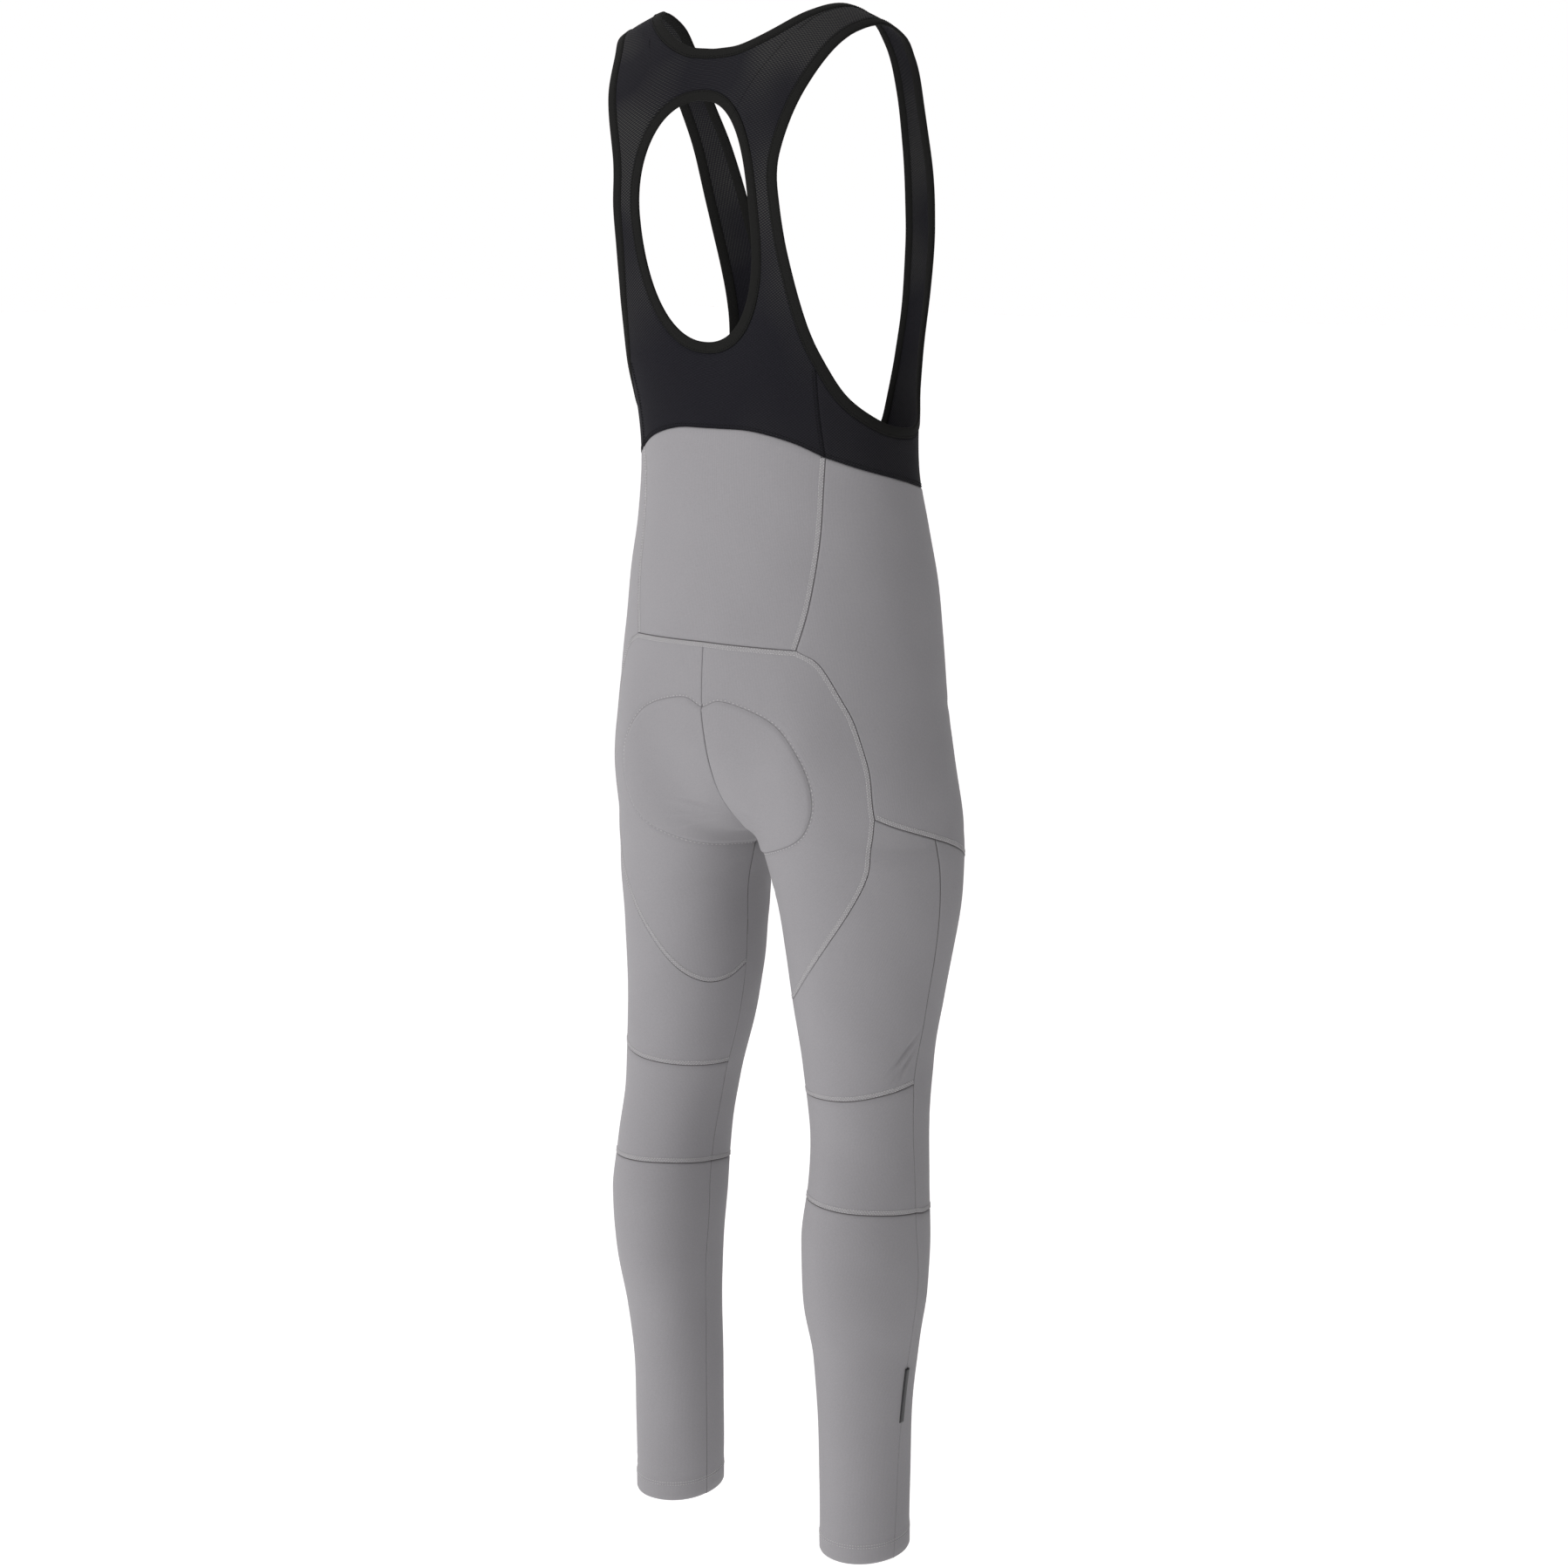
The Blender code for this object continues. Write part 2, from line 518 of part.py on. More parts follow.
def seams():
    """Every seam below the bib's edges, cut into its pieces."""
    n = SPANS
    return {
        "border_back": trace(BORDER_BACK, n["border_back"]),
        "border_front": trace(BORDER_FRONT, n["border_front"]),
        "waist_side": trace(WAIST_SIDE, n["waist_side"]),
        "waist_foot": trace(WAIST_FOOT, n["waist_foot"]),
        "seat_upper": trace(SEAT_UPPER, n["seat_upper"]),
        "seat_lower": trace(SEAT_LOWER, n["seat_lower"]),
        "cross_back": trace(CROSS_BACK, n["cross_back"]),
        "cross_front": trace(CROSS_FRONT, n["cross_front"]),
        "back_middle": trace(BACK_MIDDLE, n["back_middle"]),
        "front_middle": trace(FRONT_MIDDLE, n["waist_side"] + n["seat_upper"]),
        "inseam_top": trace(INSEAM_TOP, n["inseam_top"]),
        "inseam_thigh": trace(INSEAM_THIGH, n["thigh"]),
        "inseam_knee": trace(INSEAM_KNEE, n["knee"]),
        "inseam_calf": trace(INSEAM_CALF, n["calf"]),
        "outseam_thigh": trace(OUTSEAM_THIGH, n["thigh"]),
        "outseam_knee": trace(OUTSEAM_KNEE, n["knee"]),
        "outseam_calf": trace(OUTSEAM_CALF, n["calf"]),
        "knee_upper": trace(KNEE_UPPER, n["cross_back"] + n["seat_lower"]),
        "knee_lower": trace(KNEE_LOWER, n["cross_back"] + n["seat_lower"]),
        "knee_front": trace(KNEE_FRONT, n["cross_front"] + n["inseam_top"]),
        "hem_back": trace(HEM_BACK, n["cross_back"] + n["seat_lower"]),
        "hem_front": trace(HEM_FRONT, n["cross_front"] + n["inseam_top"]),
    }


def bib_edges():
    """The bib's free edges, and the seams a band's width inside them."""
    neck_back = trace(sheet(NECK_BACK, True), SPANS["neck_back"])
    neck_front = trace(sheet(NECK_FRONT, False), (SPANS["neck_strap"], SPANS["neck_scoop"]), NECK_STOPS)
    armhole = trace(np.vstack([sheet(ARMHOLE_BACK, True), np.array(ARMPIT), sheet(ARMHOLE_FRONT, False)]),
                    (SPANS["armhole_back"], SPANS["armpit"], SPANS["neck_strap"]), ARMHOLE_STOPS)
    neck_back_seam = shift(neck_back, BAND_WIDTH)
    neck_front_seam = shift(neck_front, BAND_WIDTH)
    armhole_seam = shift(armhole, BAND_WIDTH)
    neck_out = NECK_BACK[-1][0] + BAND_WIDTH
    arm_out = ARMHOLE_BACK[0][0] - BAND_WIDTH
    neck_back_seam[0] = (1.0, NECK_BACK[0][1] - BAND_WIDTH)
    neck_back_seam[-1] = (turn_at(neck_out, RIDGE, True), RIDGE)
    neck_front_seam[0] = (turn_at(neck_out, RIDGE, False), RIDGE)
    neck_front_seam[-1] = (0.0, NECK_FRONT[-1][1] - BAND_WIDTH)
    armhole_seam[0] = (turn_at(arm_out, RIDGE, True), RIDGE)
    armhole_seam[-1] = (turn_at(arm_out, RIDGE, False), RIDGE)
    return neck_back, neck_back_seam, neck_front, neck_front_seam, armhole, armhole_seam


def straight(a, b, spans):
    return np.linspace(a, b, spans + 1)


def leg_pieces(s):
    """The grids of the pieces of the right leg and hip, each with its sides named by seams."""
    top_of_front = join(s["cross_front"], around(s["inseam_top"]))
    thigh_inside = join(s["inseam_thigh"], s["inseam_knee"])
    thigh_outside = join(s["outseam_thigh"], s["outseam_knee"])
    cross_and_seat = join(s["cross_back"][::-1], s["seat_lower"])
    seat_inside = join(s["back_middle"], s["inseam_top"])
    foot = len(seat_inside) - len(s["seat_upper"])
    return {
        "seat": fill(s["waist_foot"], s["seat_lower"][foot:][::-1], seat_inside,
                     join(s["seat_upper"], s["seat_lower"][:foot + 1])),
        "hip": fill(s["border_front"], join(s["cross_back"], s["cross_front"]),
                    join(s["waist_side"], s["seat_upper"]), s["front_middle"]),
        "thigh_back": fill(s["knee_upper"], cross_and_seat, s["outseam_thigh"][::-1],
                           s["inseam_thigh"][::-1]),
        "thigh_front": fill(s["knee_front"], top_of_front, thigh_outside[::-1],
                            around(thigh_inside)[::-1]),
        "knee_back": fill(s["knee_lower"], s["knee_upper"], s["outseam_knee"][::-1],
                          s["inseam_knee"][::-1]),
        "calf": fill(s["hem_back"], s["knee_lower"], s["outseam_calf"][::-1],
                     s["inseam_calf"][::-1]),
        "shin": fill(s["hem_front"], s["knee_front"], s["outseam_calf"][::-1],
                     around(s["inseam_calf"])[::-1]),
    }


def cutout_point(angle, grow=0.0):
    """A point of the oval at an angle round its centre, as distance out and level."""
    half, rise = CUTOUT_HALF + grow, CUTOUT_RISE + grow
    bend = (abs(math.cos(angle)) / half) ** CUTOUT_ROUND + (abs(math.sin(angle)) / rise) ** CUTOUT_ROUND
    radius = bend ** (-1 / CUTOUT_ROUND)
    return radius * math.cos(angle), CUTOUT_LEVEL + radius * math.sin(angle)


def bib_back_outline(s, side_seam, neck_seam, armhole_seam):
    """The right half of the back's outline, from the middle of the border up to the neck."""
    armhole = armhole_seam[:SPANS["armhole_back"] + 1][::-1]
    shoulder = straight(armhole_seam[0], neck_seam[-1], SPANS["shoulder"])
    return join(s["border_back"], side_seam, armhole, shoulder, neck_seam[::-1])


def out_and_level(chart):
    return np.stack([surface(chart)[:, 0], chart[:, 1]], -1)


def build():
    for old in list(bpy.data.objects):
        bpy.data.objects.remove(old)
    finish = {name: material(name) for name in COLORS}
    s = seams()
    neck_back, neck_back_seam, neck_front, neck_front_seam, armhole, armhole_seam = bib_edges()
    side_seam = straight(s["border_back"][-1], armhole_seam[SPANS["armhole_back"]], SPANS["bib_side"])

    # The leg and hip pieces, right and left
    for name, grid in leg_pieces(s).items():
        for label, side in (("right", -1), ("left", 1)):
            cloth = Sheet()
            cloth.add(grid, side)
            solid(f"{name}_{label}", cloth, finish["knit"], KNIT)

    # The back of the waist, one piece across both halves
    waist = Sheet()
    middle = straight(s["waist_foot"][0], s["border_back"][0], SPANS["waist_side"])
    half = fill(s["waist_foot"], s["border_back"], middle, s["waist_side"][::-1])
    waist.add(half, -1)
    waist.add(half[:, ::-1], 1)
    solid("waist_back", waist, finish["knit"], KNIT)

    # The back of the bib, a ring round the cut-out
    outline = out_and_level(bib_back_outline(s, side_seam, neck_back_seam, armhole_seam))
    angles = [math.atan2(level - CUTOUT_LEVEL, out) for out, level in outline]
    oval_edge = np.array([cutout_point(angle) for angle in angles])
    oval_seam = np.array([cutout_point(angle, BAND_WIDTH) for angle in angles])
    for oval in (oval_edge, oval_seam):
        oval[[0, -1], 0] = 0.0
    layers = np.linspace(0, 1, SPANS["cutout_layers"] + 1)[:, None, None]
    ring = (1 - layers) * oval_seam[None] + layers * outline[None]
    half = np.stack([turn_at(ring[..., 0], ring[..., 1], True), ring[..., 1]], -1)
    half[-1] = bib_back_outline(s, side_seam, neck_back_seam, armhole_seam)
    back = Sheet()
    back.add(half, -1)
    back.add(half[:, ::-1], 1)
    solid("bib_back", back, finish["bib"], BIB_KNIT)
    loop_sides = [-1] * len(oval_edge) + [1] * (len(oval_edge) - 2)
    edge = sheet(np.vstack([oval_edge, oval_edge[-2:0:-1]]), True)
    seam = np.vstack([half[0], half[0][-2:0:-1]])
    band("cutout_binding", edge, seam, loop_sides, finish["band"])

    # Each front of the bib: the side panel below, and the strap that rises from it
    scoop = SPANS["neck_strap"]
    side_end = SPANS["armhole_back"]
    strap_end = side_end + SPANS["armpit"]
    strap_foot = straight(neck_front_seam[scoop], armhole_seam[strap_end], SPANS["shoulder"])
    scoop_seam = neck_front_seam[scoop:][::-1]
    armpit_seam = armhole_seam[side_end:strap_end + 1][::-1]
    bib_middle = straight(s["border_front"][-1], neck_front_seam[-1], SPANS["bib_middle"])
    lower = fill(s["border_front"][::-1], join(scoop_seam, strap_foot, armpit_seam), bib_middle, side_seam)
    shoulder = straight(neck_front_seam[0], armhole_seam[-1], SPANS["shoulder"])
    strap = fill(strap_foot, shoulder, neck_front_seam[:scoop + 1][::-1], armhole_seam[strap_end:])
    for label, side in (("right", -1), ("left", 1)):
        front = Sheet()
        front.add(lower, side)
        front.add(strap, side)
        solid(f"bib_front_{label}", front, finish["bib"], BIB_KNIT)
        sides = [side] * (len(armhole) - 1)
        band(f"armhole_binding_{label}", armhole[:-1], armhole_seam[:-1], sides, finish["band"])

    # The neckline's band, over both straps and across the front
    half_edge = join(neck_back, neck_front)
    half_seam = join(neck_back_seam, neck_front_seam)
    edge = np.vstack([half_edge, half_edge[-2:0:-1]])
    seam = np.vstack([half_seam, half_seam[-2:0:-1]])
    sides = [-1] * len(half_edge) + [1] * (len(half_edge) - 2)
    band("neck_binding", edge, seam, sides, finish["band"])

    # The pad inside the seat, made from the panels' own points
    columns = SPANS["pad_columns"]
    back_rows = np.array([straight((1.0, middle), (turn, level), columns)
                          for middle, turn, level in PAD_BACK])
    front_rows = np.array([straight((0.0, middle), (turn, level), columns)
                           for middle, turn, level in PAD_FRONT])
    front_rows = doubled(np.concatenate([around(back_rows[-1:]), front_rows]))
    back_rows = doubled(back_rows)
    pad = Sheet()
    pad.add(back_rows, -1)
    pad.add(front_rows, -1)
    pad.add(back_rows[:, ::-1], 1)
    pad.add(front_rows[:, ::-1], 1)
    pad.settle()
    solid("seat_pad", pad, finish["pad"], PAD_DEPTH, -KNIT - PAD_CLEAR, PAD_EDGE)

    # The tab on the right outer seam
    seam = trace(OUTSEAM_CALF, TAB_CURVE)
    levels = straight(TAB_TOP, TAB_FOOT, TAB_ROWS)
    tab_middle = np.stack([np.interp(-levels, -seam[:, 1], seam[:, 0]), levels], -1)
    tab = Sheet()
    tab.add(np.stack([shift(tab_middle, -TAB_HALF), tab_middle, shift(tab_middle, TAB_HALF)]), -1)
    solid("reflective_tab", tab, finish["tab"], TAB_DEPTH, TAB_DEPTH + TAB_CLEAR)


build()
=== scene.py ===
"""Looks of the cycling tights: creased cloth shells, seams, bindings, pad, materials and light.

Metres, +Z up. The front faces -Y and the wearer's left is +X. One smooth surface carries every
piece, as a chart of the right half:
  turn   0 at the inside of the leg or the front middle, 0.5 at the outer side,
         1 at the inside of the leg or the back middle
  level  the height on the outer side, and above the armpits the way up and over the shoulder
"""
import math

import bpy
import numpy as np
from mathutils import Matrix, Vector


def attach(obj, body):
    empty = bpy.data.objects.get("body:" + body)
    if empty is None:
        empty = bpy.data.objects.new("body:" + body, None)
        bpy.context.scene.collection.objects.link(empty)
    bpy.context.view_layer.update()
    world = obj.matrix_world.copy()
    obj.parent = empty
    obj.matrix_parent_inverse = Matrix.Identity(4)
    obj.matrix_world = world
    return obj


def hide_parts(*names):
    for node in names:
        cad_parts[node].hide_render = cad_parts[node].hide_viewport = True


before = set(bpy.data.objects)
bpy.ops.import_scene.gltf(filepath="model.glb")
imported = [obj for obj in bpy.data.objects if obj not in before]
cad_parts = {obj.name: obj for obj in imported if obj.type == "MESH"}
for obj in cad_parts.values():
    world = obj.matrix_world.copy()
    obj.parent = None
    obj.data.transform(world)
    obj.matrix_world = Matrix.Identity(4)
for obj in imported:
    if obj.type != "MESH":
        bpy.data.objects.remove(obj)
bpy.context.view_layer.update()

# How many times finer than the solids the cloth is
DETAIL = 5

# Levels
HEM = -1.428
CROTCH = -0.735
HIP = -0.600
RIDGE = 0.050

# The shoulder line, and how far the straps fall along it
SHOULDER_BACK = 0.044
SHOULDER_FALL, FALL_POWER = 0.034, 3
FALL_FOOT, FALL_FADE = -0.30, 0.25
SHOULDER_REACH = 0.152
STRAP_MIDDLE = 0.117

# Cloth
KNIT = 0.0015
BIB_KNIT = 0.0013
BAND_WIDTH = 0.0095
PAD_DEPTH = 0.0060
PAD_EDGE = 0.0020
PAD_CLEAR = 0.0035
TAB_DEPTH = 0.0010
TAB_CLEAR = 0.0007

# Sections of a leg: level, then distances out from the middle and back from the axis
LEG_COLUMNS = ("level", "inner", "outer", "front", "back", "skew")
LEG = (
    (-1.440, 0.0750, 0.1545, -0.0250, 0.0690, 0.00),
    (-1.300, 0.0740, 0.1555, -0.0260, 0.0720, -0.03),
    (-1.230, 0.0740, 0.1605, -0.0290, 0.0800, -0.10),
    (-1.170, 0.0705, 0.1680, -0.0350, 0.0940, -0.16),
    (-1.110, 0.0670, 0.1705, -0.0390, 0.0965, -0.11),
    (-1.060, 0.0665, 0.1690, -0.0400, 0.0860, -0.05),
    (-1.005, 0.0605, 0.1660, -0.0440, 0.0755, 0.00),
    (-0.950, 0.0490, 0.1655, -0.0540, 0.0750, 0.00),
    (-0.890, 0.0385, 0.1690, -0.0670, 0.0785, -0.07),
    (-0.840, 0.0335, 0.1740, -0.0760, 0.0830, -0.14),
    (-0.790, 0.0275, 0.1785, -0.0820, 0.0890, -0.19),
    (-0.755, 0.0185, 0.1790, -0.0860, 0.0940, -0.20),
    (-0.735, 0.0130, 0.1780, -0.0880, 0.0980, -0.20),
    (-0.600, 0.0130, 0.1720, -0.1100, 0.1300, 0.00),
)

# Sections of the body: level, height, half width, middle of the depth, depths to front and back
BODY_COLUMNS = ("level", "height", "outer", "middle", "front", "back", "squareness")
BODY = (
    (-0.735, -0.735, 0.1780, 0.004, 0.100, 0.117, 2.00),
    (-0.690, -0.690, 0.1740, 0.002, 0.113, 0.121, 2.00),
    (-0.640, -0.640, 0.1690, 0.002, 0.121, 0.121, 2.00),
    (-0.600, -0.600, 0.1645, 0.002, 0.121, 0.122, 2.05),
    (-0.550, -0.550, 0.1590, 0.002, 0.118, 0.119, 2.10),
    (-0.500, -0.500, 0.1540, 0.003, 0.115, 0.112, 2.10),
    (-0.450, -0.450, 0.1465, 0.005, 0.105, 0.102, 2.10),
    (-0.400, -0.400, 0.1390, 0.008, 0.097, 0.097, 2.15),
    (-0.350, -0.350, 0.1365, 0.012, 0.102, 0.096, 2.30),
    (-0.300, -0.300, 0.1410, 0.018, 0.107, 0.097, 2.60),
    (-0.240, -0.240, 0.1540, 0.026, 0.112, 0.099, 2.80),
    (-0.180, -0.180, 0.1700, 0.035, 0.108, 0.099, 3.00),
    (-0.120, -0.122, 0.1880, 0.043, 0.098, 0.090, 3.00),
    (-0.060, -0.068, 0.2020, 0.046, 0.077, 0.072, 3.00),
    (-0.010, -0.028, 0.2080, 0.046, 0.055, 0.045, 3.00),
    (0.020, -0.010, 0.2100, 0.044, 0.034, 0.029, 3.00),
    (0.050, 0.000, 0.2100, 0.044, 0.000, 0.000, 3.00),
    (0.080, -0.010, 0.2100, 0.044, -0.029, -0.034, 3.00),
)

# How fast the inside of the leg becomes the middle of the body, above the crotch, and how softly
BLEND_POWER = 4
BLEND_SOFT = 0.06

# The round arch between the legs: its height, and how it climbs and softens away from the middle
ARCH, ARCH_CLIMB, ARCH_SOFT = 0.020, 0.12, 0.12

# Rounding of the seat, which leaves the middle seam as it is
SEAT_TURN, SEAT_LEVEL, SEAT_RISE = 0.80, -0.640, 0.012
SEAT_TURN_SPREAD, SEAT_LEVEL_SPREAD = 0.10, 0.060
SEAT_POWER = 8

# The hollow along the spine of the bib: its depth and width, and where it starts and ends
SPINE_HOLLOW, SPINE_SPREAD = 0.006, 0.050
SPINE_FOOT, SPINE_FOOT_FADE = -0.36, 0.12
SPINE_TOP, SPINE_TOP_FADE = 0.03, 0.10

# How finely the surface's slopes, the seams' curves and the girths are worked out
SLOPE_STEP = 0.0015
CURVE_STEPS = 24
GIRTH_ROWS, GIRTH_COLUMNS, GIRTH_BELOW, GIRTH_TOP = 160, 61, 0.01, 0.08

# Turns this close are the same, lengths this small are nothing, and points that round to the same
# step of a metre are joined
SAME, TINY, POINTS_PER_METRE = 1e-9, 1e-12, 1e5

# Seams below the bib's edges, as turn and level
SEAMS = {
    "border_back": ((1.0, -0.359), (0.917, -0.360), (0.820, -0.369), (0.738, -0.382)),
    "border_front": ((0.738, -0.382), (0.639, -0.393), (0.525, -0.403), (0.400, -0.413), (0.20, -0.422),
                     (0.0, -0.425)),
    "waist_side": ((0.738, -0.382), (0.766, -0.460), (0.790, -0.515), (0.813, -0.551)),
    "waist_foot": ((1.0, -0.549), (0.900, -0.550), (0.813, -0.551)),
    "seat_upper": ((0.813, -0.551), (0.763, -0.564), (0.710, -0.602), (0.677, -0.631), (0.645, -0.663),
                   (0.630, -0.703)),
    "seat_lower": ((0.630, -0.703), (0.637, -0.727), (0.662, -0.767), (0.740, -0.826), (0.820, -0.869),
                   (0.886, -0.887), (0.945, -0.888), (1.0, -0.876)),
    "cross_back": ((0.630, -0.703), (0.594, -0.713), (0.530, -0.728)),
    "cross_front": ((0.530, -0.728), (0.450, -0.746), (0.377, -0.762), (0.250, -0.776), (0.110, -0.762),
                    (0.0, CROTCH)),
    "back_middle": ((1.0, -0.549), (1.0, -0.600), (1.0, -0.650), (1.0, -0.690), (1.0, -0.720),
                    (1.0, CROTCH)),
    "front_middle": ((0.0, -0.425), (0.0, -0.520), (0.0, -0.620), (0.0, -0.690), (0.0, -0.720),
                     (0.0, CROTCH)),
    "inseam_top": ((1.0, CROTCH), (1.0, -0.800), (1.0, -0.876)),
    "inseam_thigh": ((1.0, -0.876), (0.995, -0.930), (0.990, -0.977)),
    "inseam_knee": ((0.990, -0.977), (0.997, -1.030), (1.0, -1.077)),
    "inseam_calf": ((1.0, -1.077), (1.012, -1.140), (1.008, -1.200), (0.982, -1.310), (0.978, HEM)),
    "outseam_thigh": ((0.530, -0.728), (0.520, -0.770), (0.514, -0.850), (0.513, -0.910), (0.522, -0.958)),
    "outseam_knee": ((0.522, -0.958), (0.512, -1.020), (0.500, -1.081)),
    "outseam_calf": ((0.500, -1.081), (0.487, -1.140), (0.490, -1.200), (0.504, -1.290), (0.530, HEM)),
    "knee_upper": ((0.522, -0.958), (0.600, -0.963), (0.700, -0.969), (0.800, -0.972), (0.990, -0.977)),
    "knee_lower": ((0.500, -1.081), (0.650, -1.073), (0.850, -1.070), (1.0, -1.077)),
    "knee_front": ((0.500, -1.081), (0.446, -1.086), (0.250, -1.095), (0.0, -1.077)),
    "hem_back": ((0.530, HEM), (0.750, HEM), (0.978, HEM)),
    "hem_front": ((0.530, HEM), (0.250, HEM), (-0.022, HEM)),
}

# Edges of the bib, as distance out and level, on its back and on its front
NECK_BACK = ((0.0, -0.0345), (0.030, -0.030), (0.057, -0.012), (0.081, 0.017), (0.100, RIDGE))
NECK_FRONT = ((0.100, RIDGE), (0.106, 0.000), (0.105, -0.060), (0.098, -0.110), (0.091, -0.160),
              (0.084, -0.205), (0.071, -0.280), (0.052, -0.358), (0.028, -0.381), (0.0, -0.388))
ARMHOLE_BACK = ((0.143, RIDGE), (0.123, -0.010), (0.108, -0.065), (0.0945, -0.115), (0.0905, -0.140),
                (0.092, -0.165), (0.095, -0.206), (0.1035, -0.265), (0.1125, -0.300), (0.1225, -0.330))
ARMPIT = ((0.570, -0.350), (0.490, -0.358), (0.410, -0.357))
ARMHOLE_FRONT = ((0.1180, -0.342), (0.1120, -0.316), (0.1130, -0.275), (0.1215, -0.220), (0.1295, -0.165),
                 (0.1345, -0.090), (0.140, -0.020), (0.143, RIDGE))
CUTOUT_LEVEL, CUTOUT_RISE, CUTOUT_HALF, CUTOUT_ROUND = -0.184, 0.099, 0.0615, 2.2
NECK_STOPS = (7,)
ARMHOLE_STOPS = (8, 14)

# Rows of the pad: the level on the middle, then the turn and level of its edge
PAD_BACK = ((-0.600, 0.955, -0.600), (-0.620, 0.860, -0.614), (-0.645, 0.795, -0.640),
            (-0.672, 0.748, -0.672), (-0.695, 0.738, -0.702), (-0.714, 0.775, -0.728),
            (-0.727, 0.880, -0.746), (CROTCH, 1.0, -0.754))
PAD_FRONT = ((-0.727, 0.095, -0.748), (-0.712, 0.130, -0.730), (-0.685, 0.140, -0.700),
             (-0.655, 0.120, -0.665), (-0.635, 0.060, -0.640))

# The small folded tab in the right outer seam
TAB_TOP, TAB_FOOT, TAB_HALF, TAB_CROWN = -1.238, -1.292, 0.0028, 0.0003
TAB_ROWS, TAB_COLUMNS, TAB_CURVE = 5, 7, 60

# Pieces along each seam. Opposite sides of a panel add up to the same number
SPANS = {
    "border_back": 6, "border_front": 12, "waist_side": 5, "waist_foot": 6, "seat_upper": 6,
    "seat_lower": 15, "back_middle": 9, "front_middle": 11, "cross_back": 2, "cross_front": 10,
    "inseam_top": 6, "inseam_thigh": 6, "inseam_knee": 3, "inseam_calf": 8, "outseam_thigh": 6,
    "outseam_knee": 3, "outseam_calf": 8, "knee_upper": 17, "knee_lower": 17, "knee_front": 16,
    "hem_back": 17, "hem_front": 16, "bib_side": 3, "bib_middle": 3, "shoulder": 3, "neck_back": 7,
    "neck_scoop": 2, "neck_strap": 12, "armhole_back": 13, "armpit": 7, "cutout_layers": 3,
    "pad_columns": 8,
}
SPANS = {name: count * DETAIL for name, count in SPANS.items()}

# Creases: side, turn, level, tilt in degrees from level, length, width and depth in millimetres
FOLDS = (
    (-1, 0.557, -0.926, -50, 18, 3.2, 1.90),
    (-1, 0.550, -0.938, -60, 14, 3.0, 1.60),
    (-1, 0.572, -0.944, -48, 12, 3.2, 1.10),
    (1, 0.555, -0.930, -50, 17, 3.2, 1.60),
    (1, 0.548, -0.942, -58, 13, 3.0, 1.30),
    (1, 0.925, -0.706, -4, 22, 3.0, -1.80),
    (1, 0.912, -0.716, 5, 24, 2.8, -1.50),
    (1, 0.890, -0.727, 10, 18, 3.2, -1.00),
    (-1, 0.925, -0.710, 4, 18, 3.0, -1.40),
    (-1, 0.915, -0.722, -6, 20, 3.0, -1.20),
    (-1, 0.930, -0.775, 24, 26, 4.0, 0.60),
    (1, 0.930, -0.780, 22, 26, 4.0, 0.60),
    (-1, 0.120, -0.800, -30, 24, 4.0, 1.20),
    (1, 0.120, -0.805, -30, 24, 4.0, 1.20),
    (-1, 0.220, -0.790, -20, 28, 4.5, 1.10),
    (1, 0.220, -0.795, -20, 28, 4.5, 1.10),
    (-1, 0.300, -1.000, 4, 30, 6.0, 0.80),
    (1, 0.260, -1.004, -4, 30, 6.0, 0.80),
    (-1, 0.300, -0.620, 12, 34, 7.0, 0.90),
    (1, 0.320, -0.615, -12, 34, 7.0, 0.90),
    (1, 0.640, -1.398, 5, 16, 3.5, 0.50),
    (1, 0.620, -1.405, -8, 14, 3.0, 0.45),
)
COMPANION = 1.1

# Slow unevenness of stretched knit: height, the lengths of its waves, and how much each way bends
SWELL, SWELL_ROUND, SWELL_UP = 0.00030, 0.083, 0.117
BEND_ROUND, BEND_UP = 3, 2

# How cloth edges roll down, how far in the roll starts as a share of a cell, and the thin rim
ROLL, ROLL_SHARE = 0.00080, 0.20
RIM_THICKNESS = 0.45

# The turned hem, and the raised pad with its stitched edge
HEM_HEIGHT, HEM_RISE, HEM_SOFT = 0.0190, 0.00040, 0.0012
PAD_RISE, PAD_SOFT, PAD_GROOVE, PAD_GROOVE_WIDTH = 0.0016, 0.0045, 0.00070, 0.0014
PAD_TOP_BACK, PAD_TOP_FRONT, PAD_ZONE = -0.607, -0.631, 0.25
PAD_BACK_SPANS, PAD_FRONT_SPANS = 160, 90
PAD_BEVEL, PAD_CHANNEL, PAD_CHANNEL_IN, PAD_CHANNEL_WIDTH = 0.018, 0.45, 0.026, 0.0035

# Stitching: pitch, and the length, width and height of one stitch
PITCH, PAD_PITCH = 0.0026, 0.0042
STITCH = (0.0022, 0.00085, 0.00045)
LADDER = (0.0026, 0.00050, 0.00028)
PAD_STITCH = (0.0030, 0.00110, 0.00070)
ROW_HALF, STITCH_LIFT, LADDER_LIFT, BINDING_STITCH_LIFT = 0.0015, 0.00010, 0.00006, 0.00066
HEM_ROWS, BORDER_ROWS = (0.0165, 0.0190), (-0.0012, -0.0034)

# Tapes under the rows of stitches, and thin dark strips of painted shade along the joins between the panels
TAPE_HALF, TAPE_RISE, TAPE_SINK, TAPE_FROM_SEAM = 0.0020, 0.00020, 0.00003, 0.0026
TAPE_STEPS, TAPE_SQUARENESS = 6, 6
JOIN_SHADE_HALF, OPEN_JOIN_SHADE_HALF, JOIN_SHADE_LIFT, PAD_LINE_OFFSET = 0.00024, 0.00042, -0.00030, 0.0013

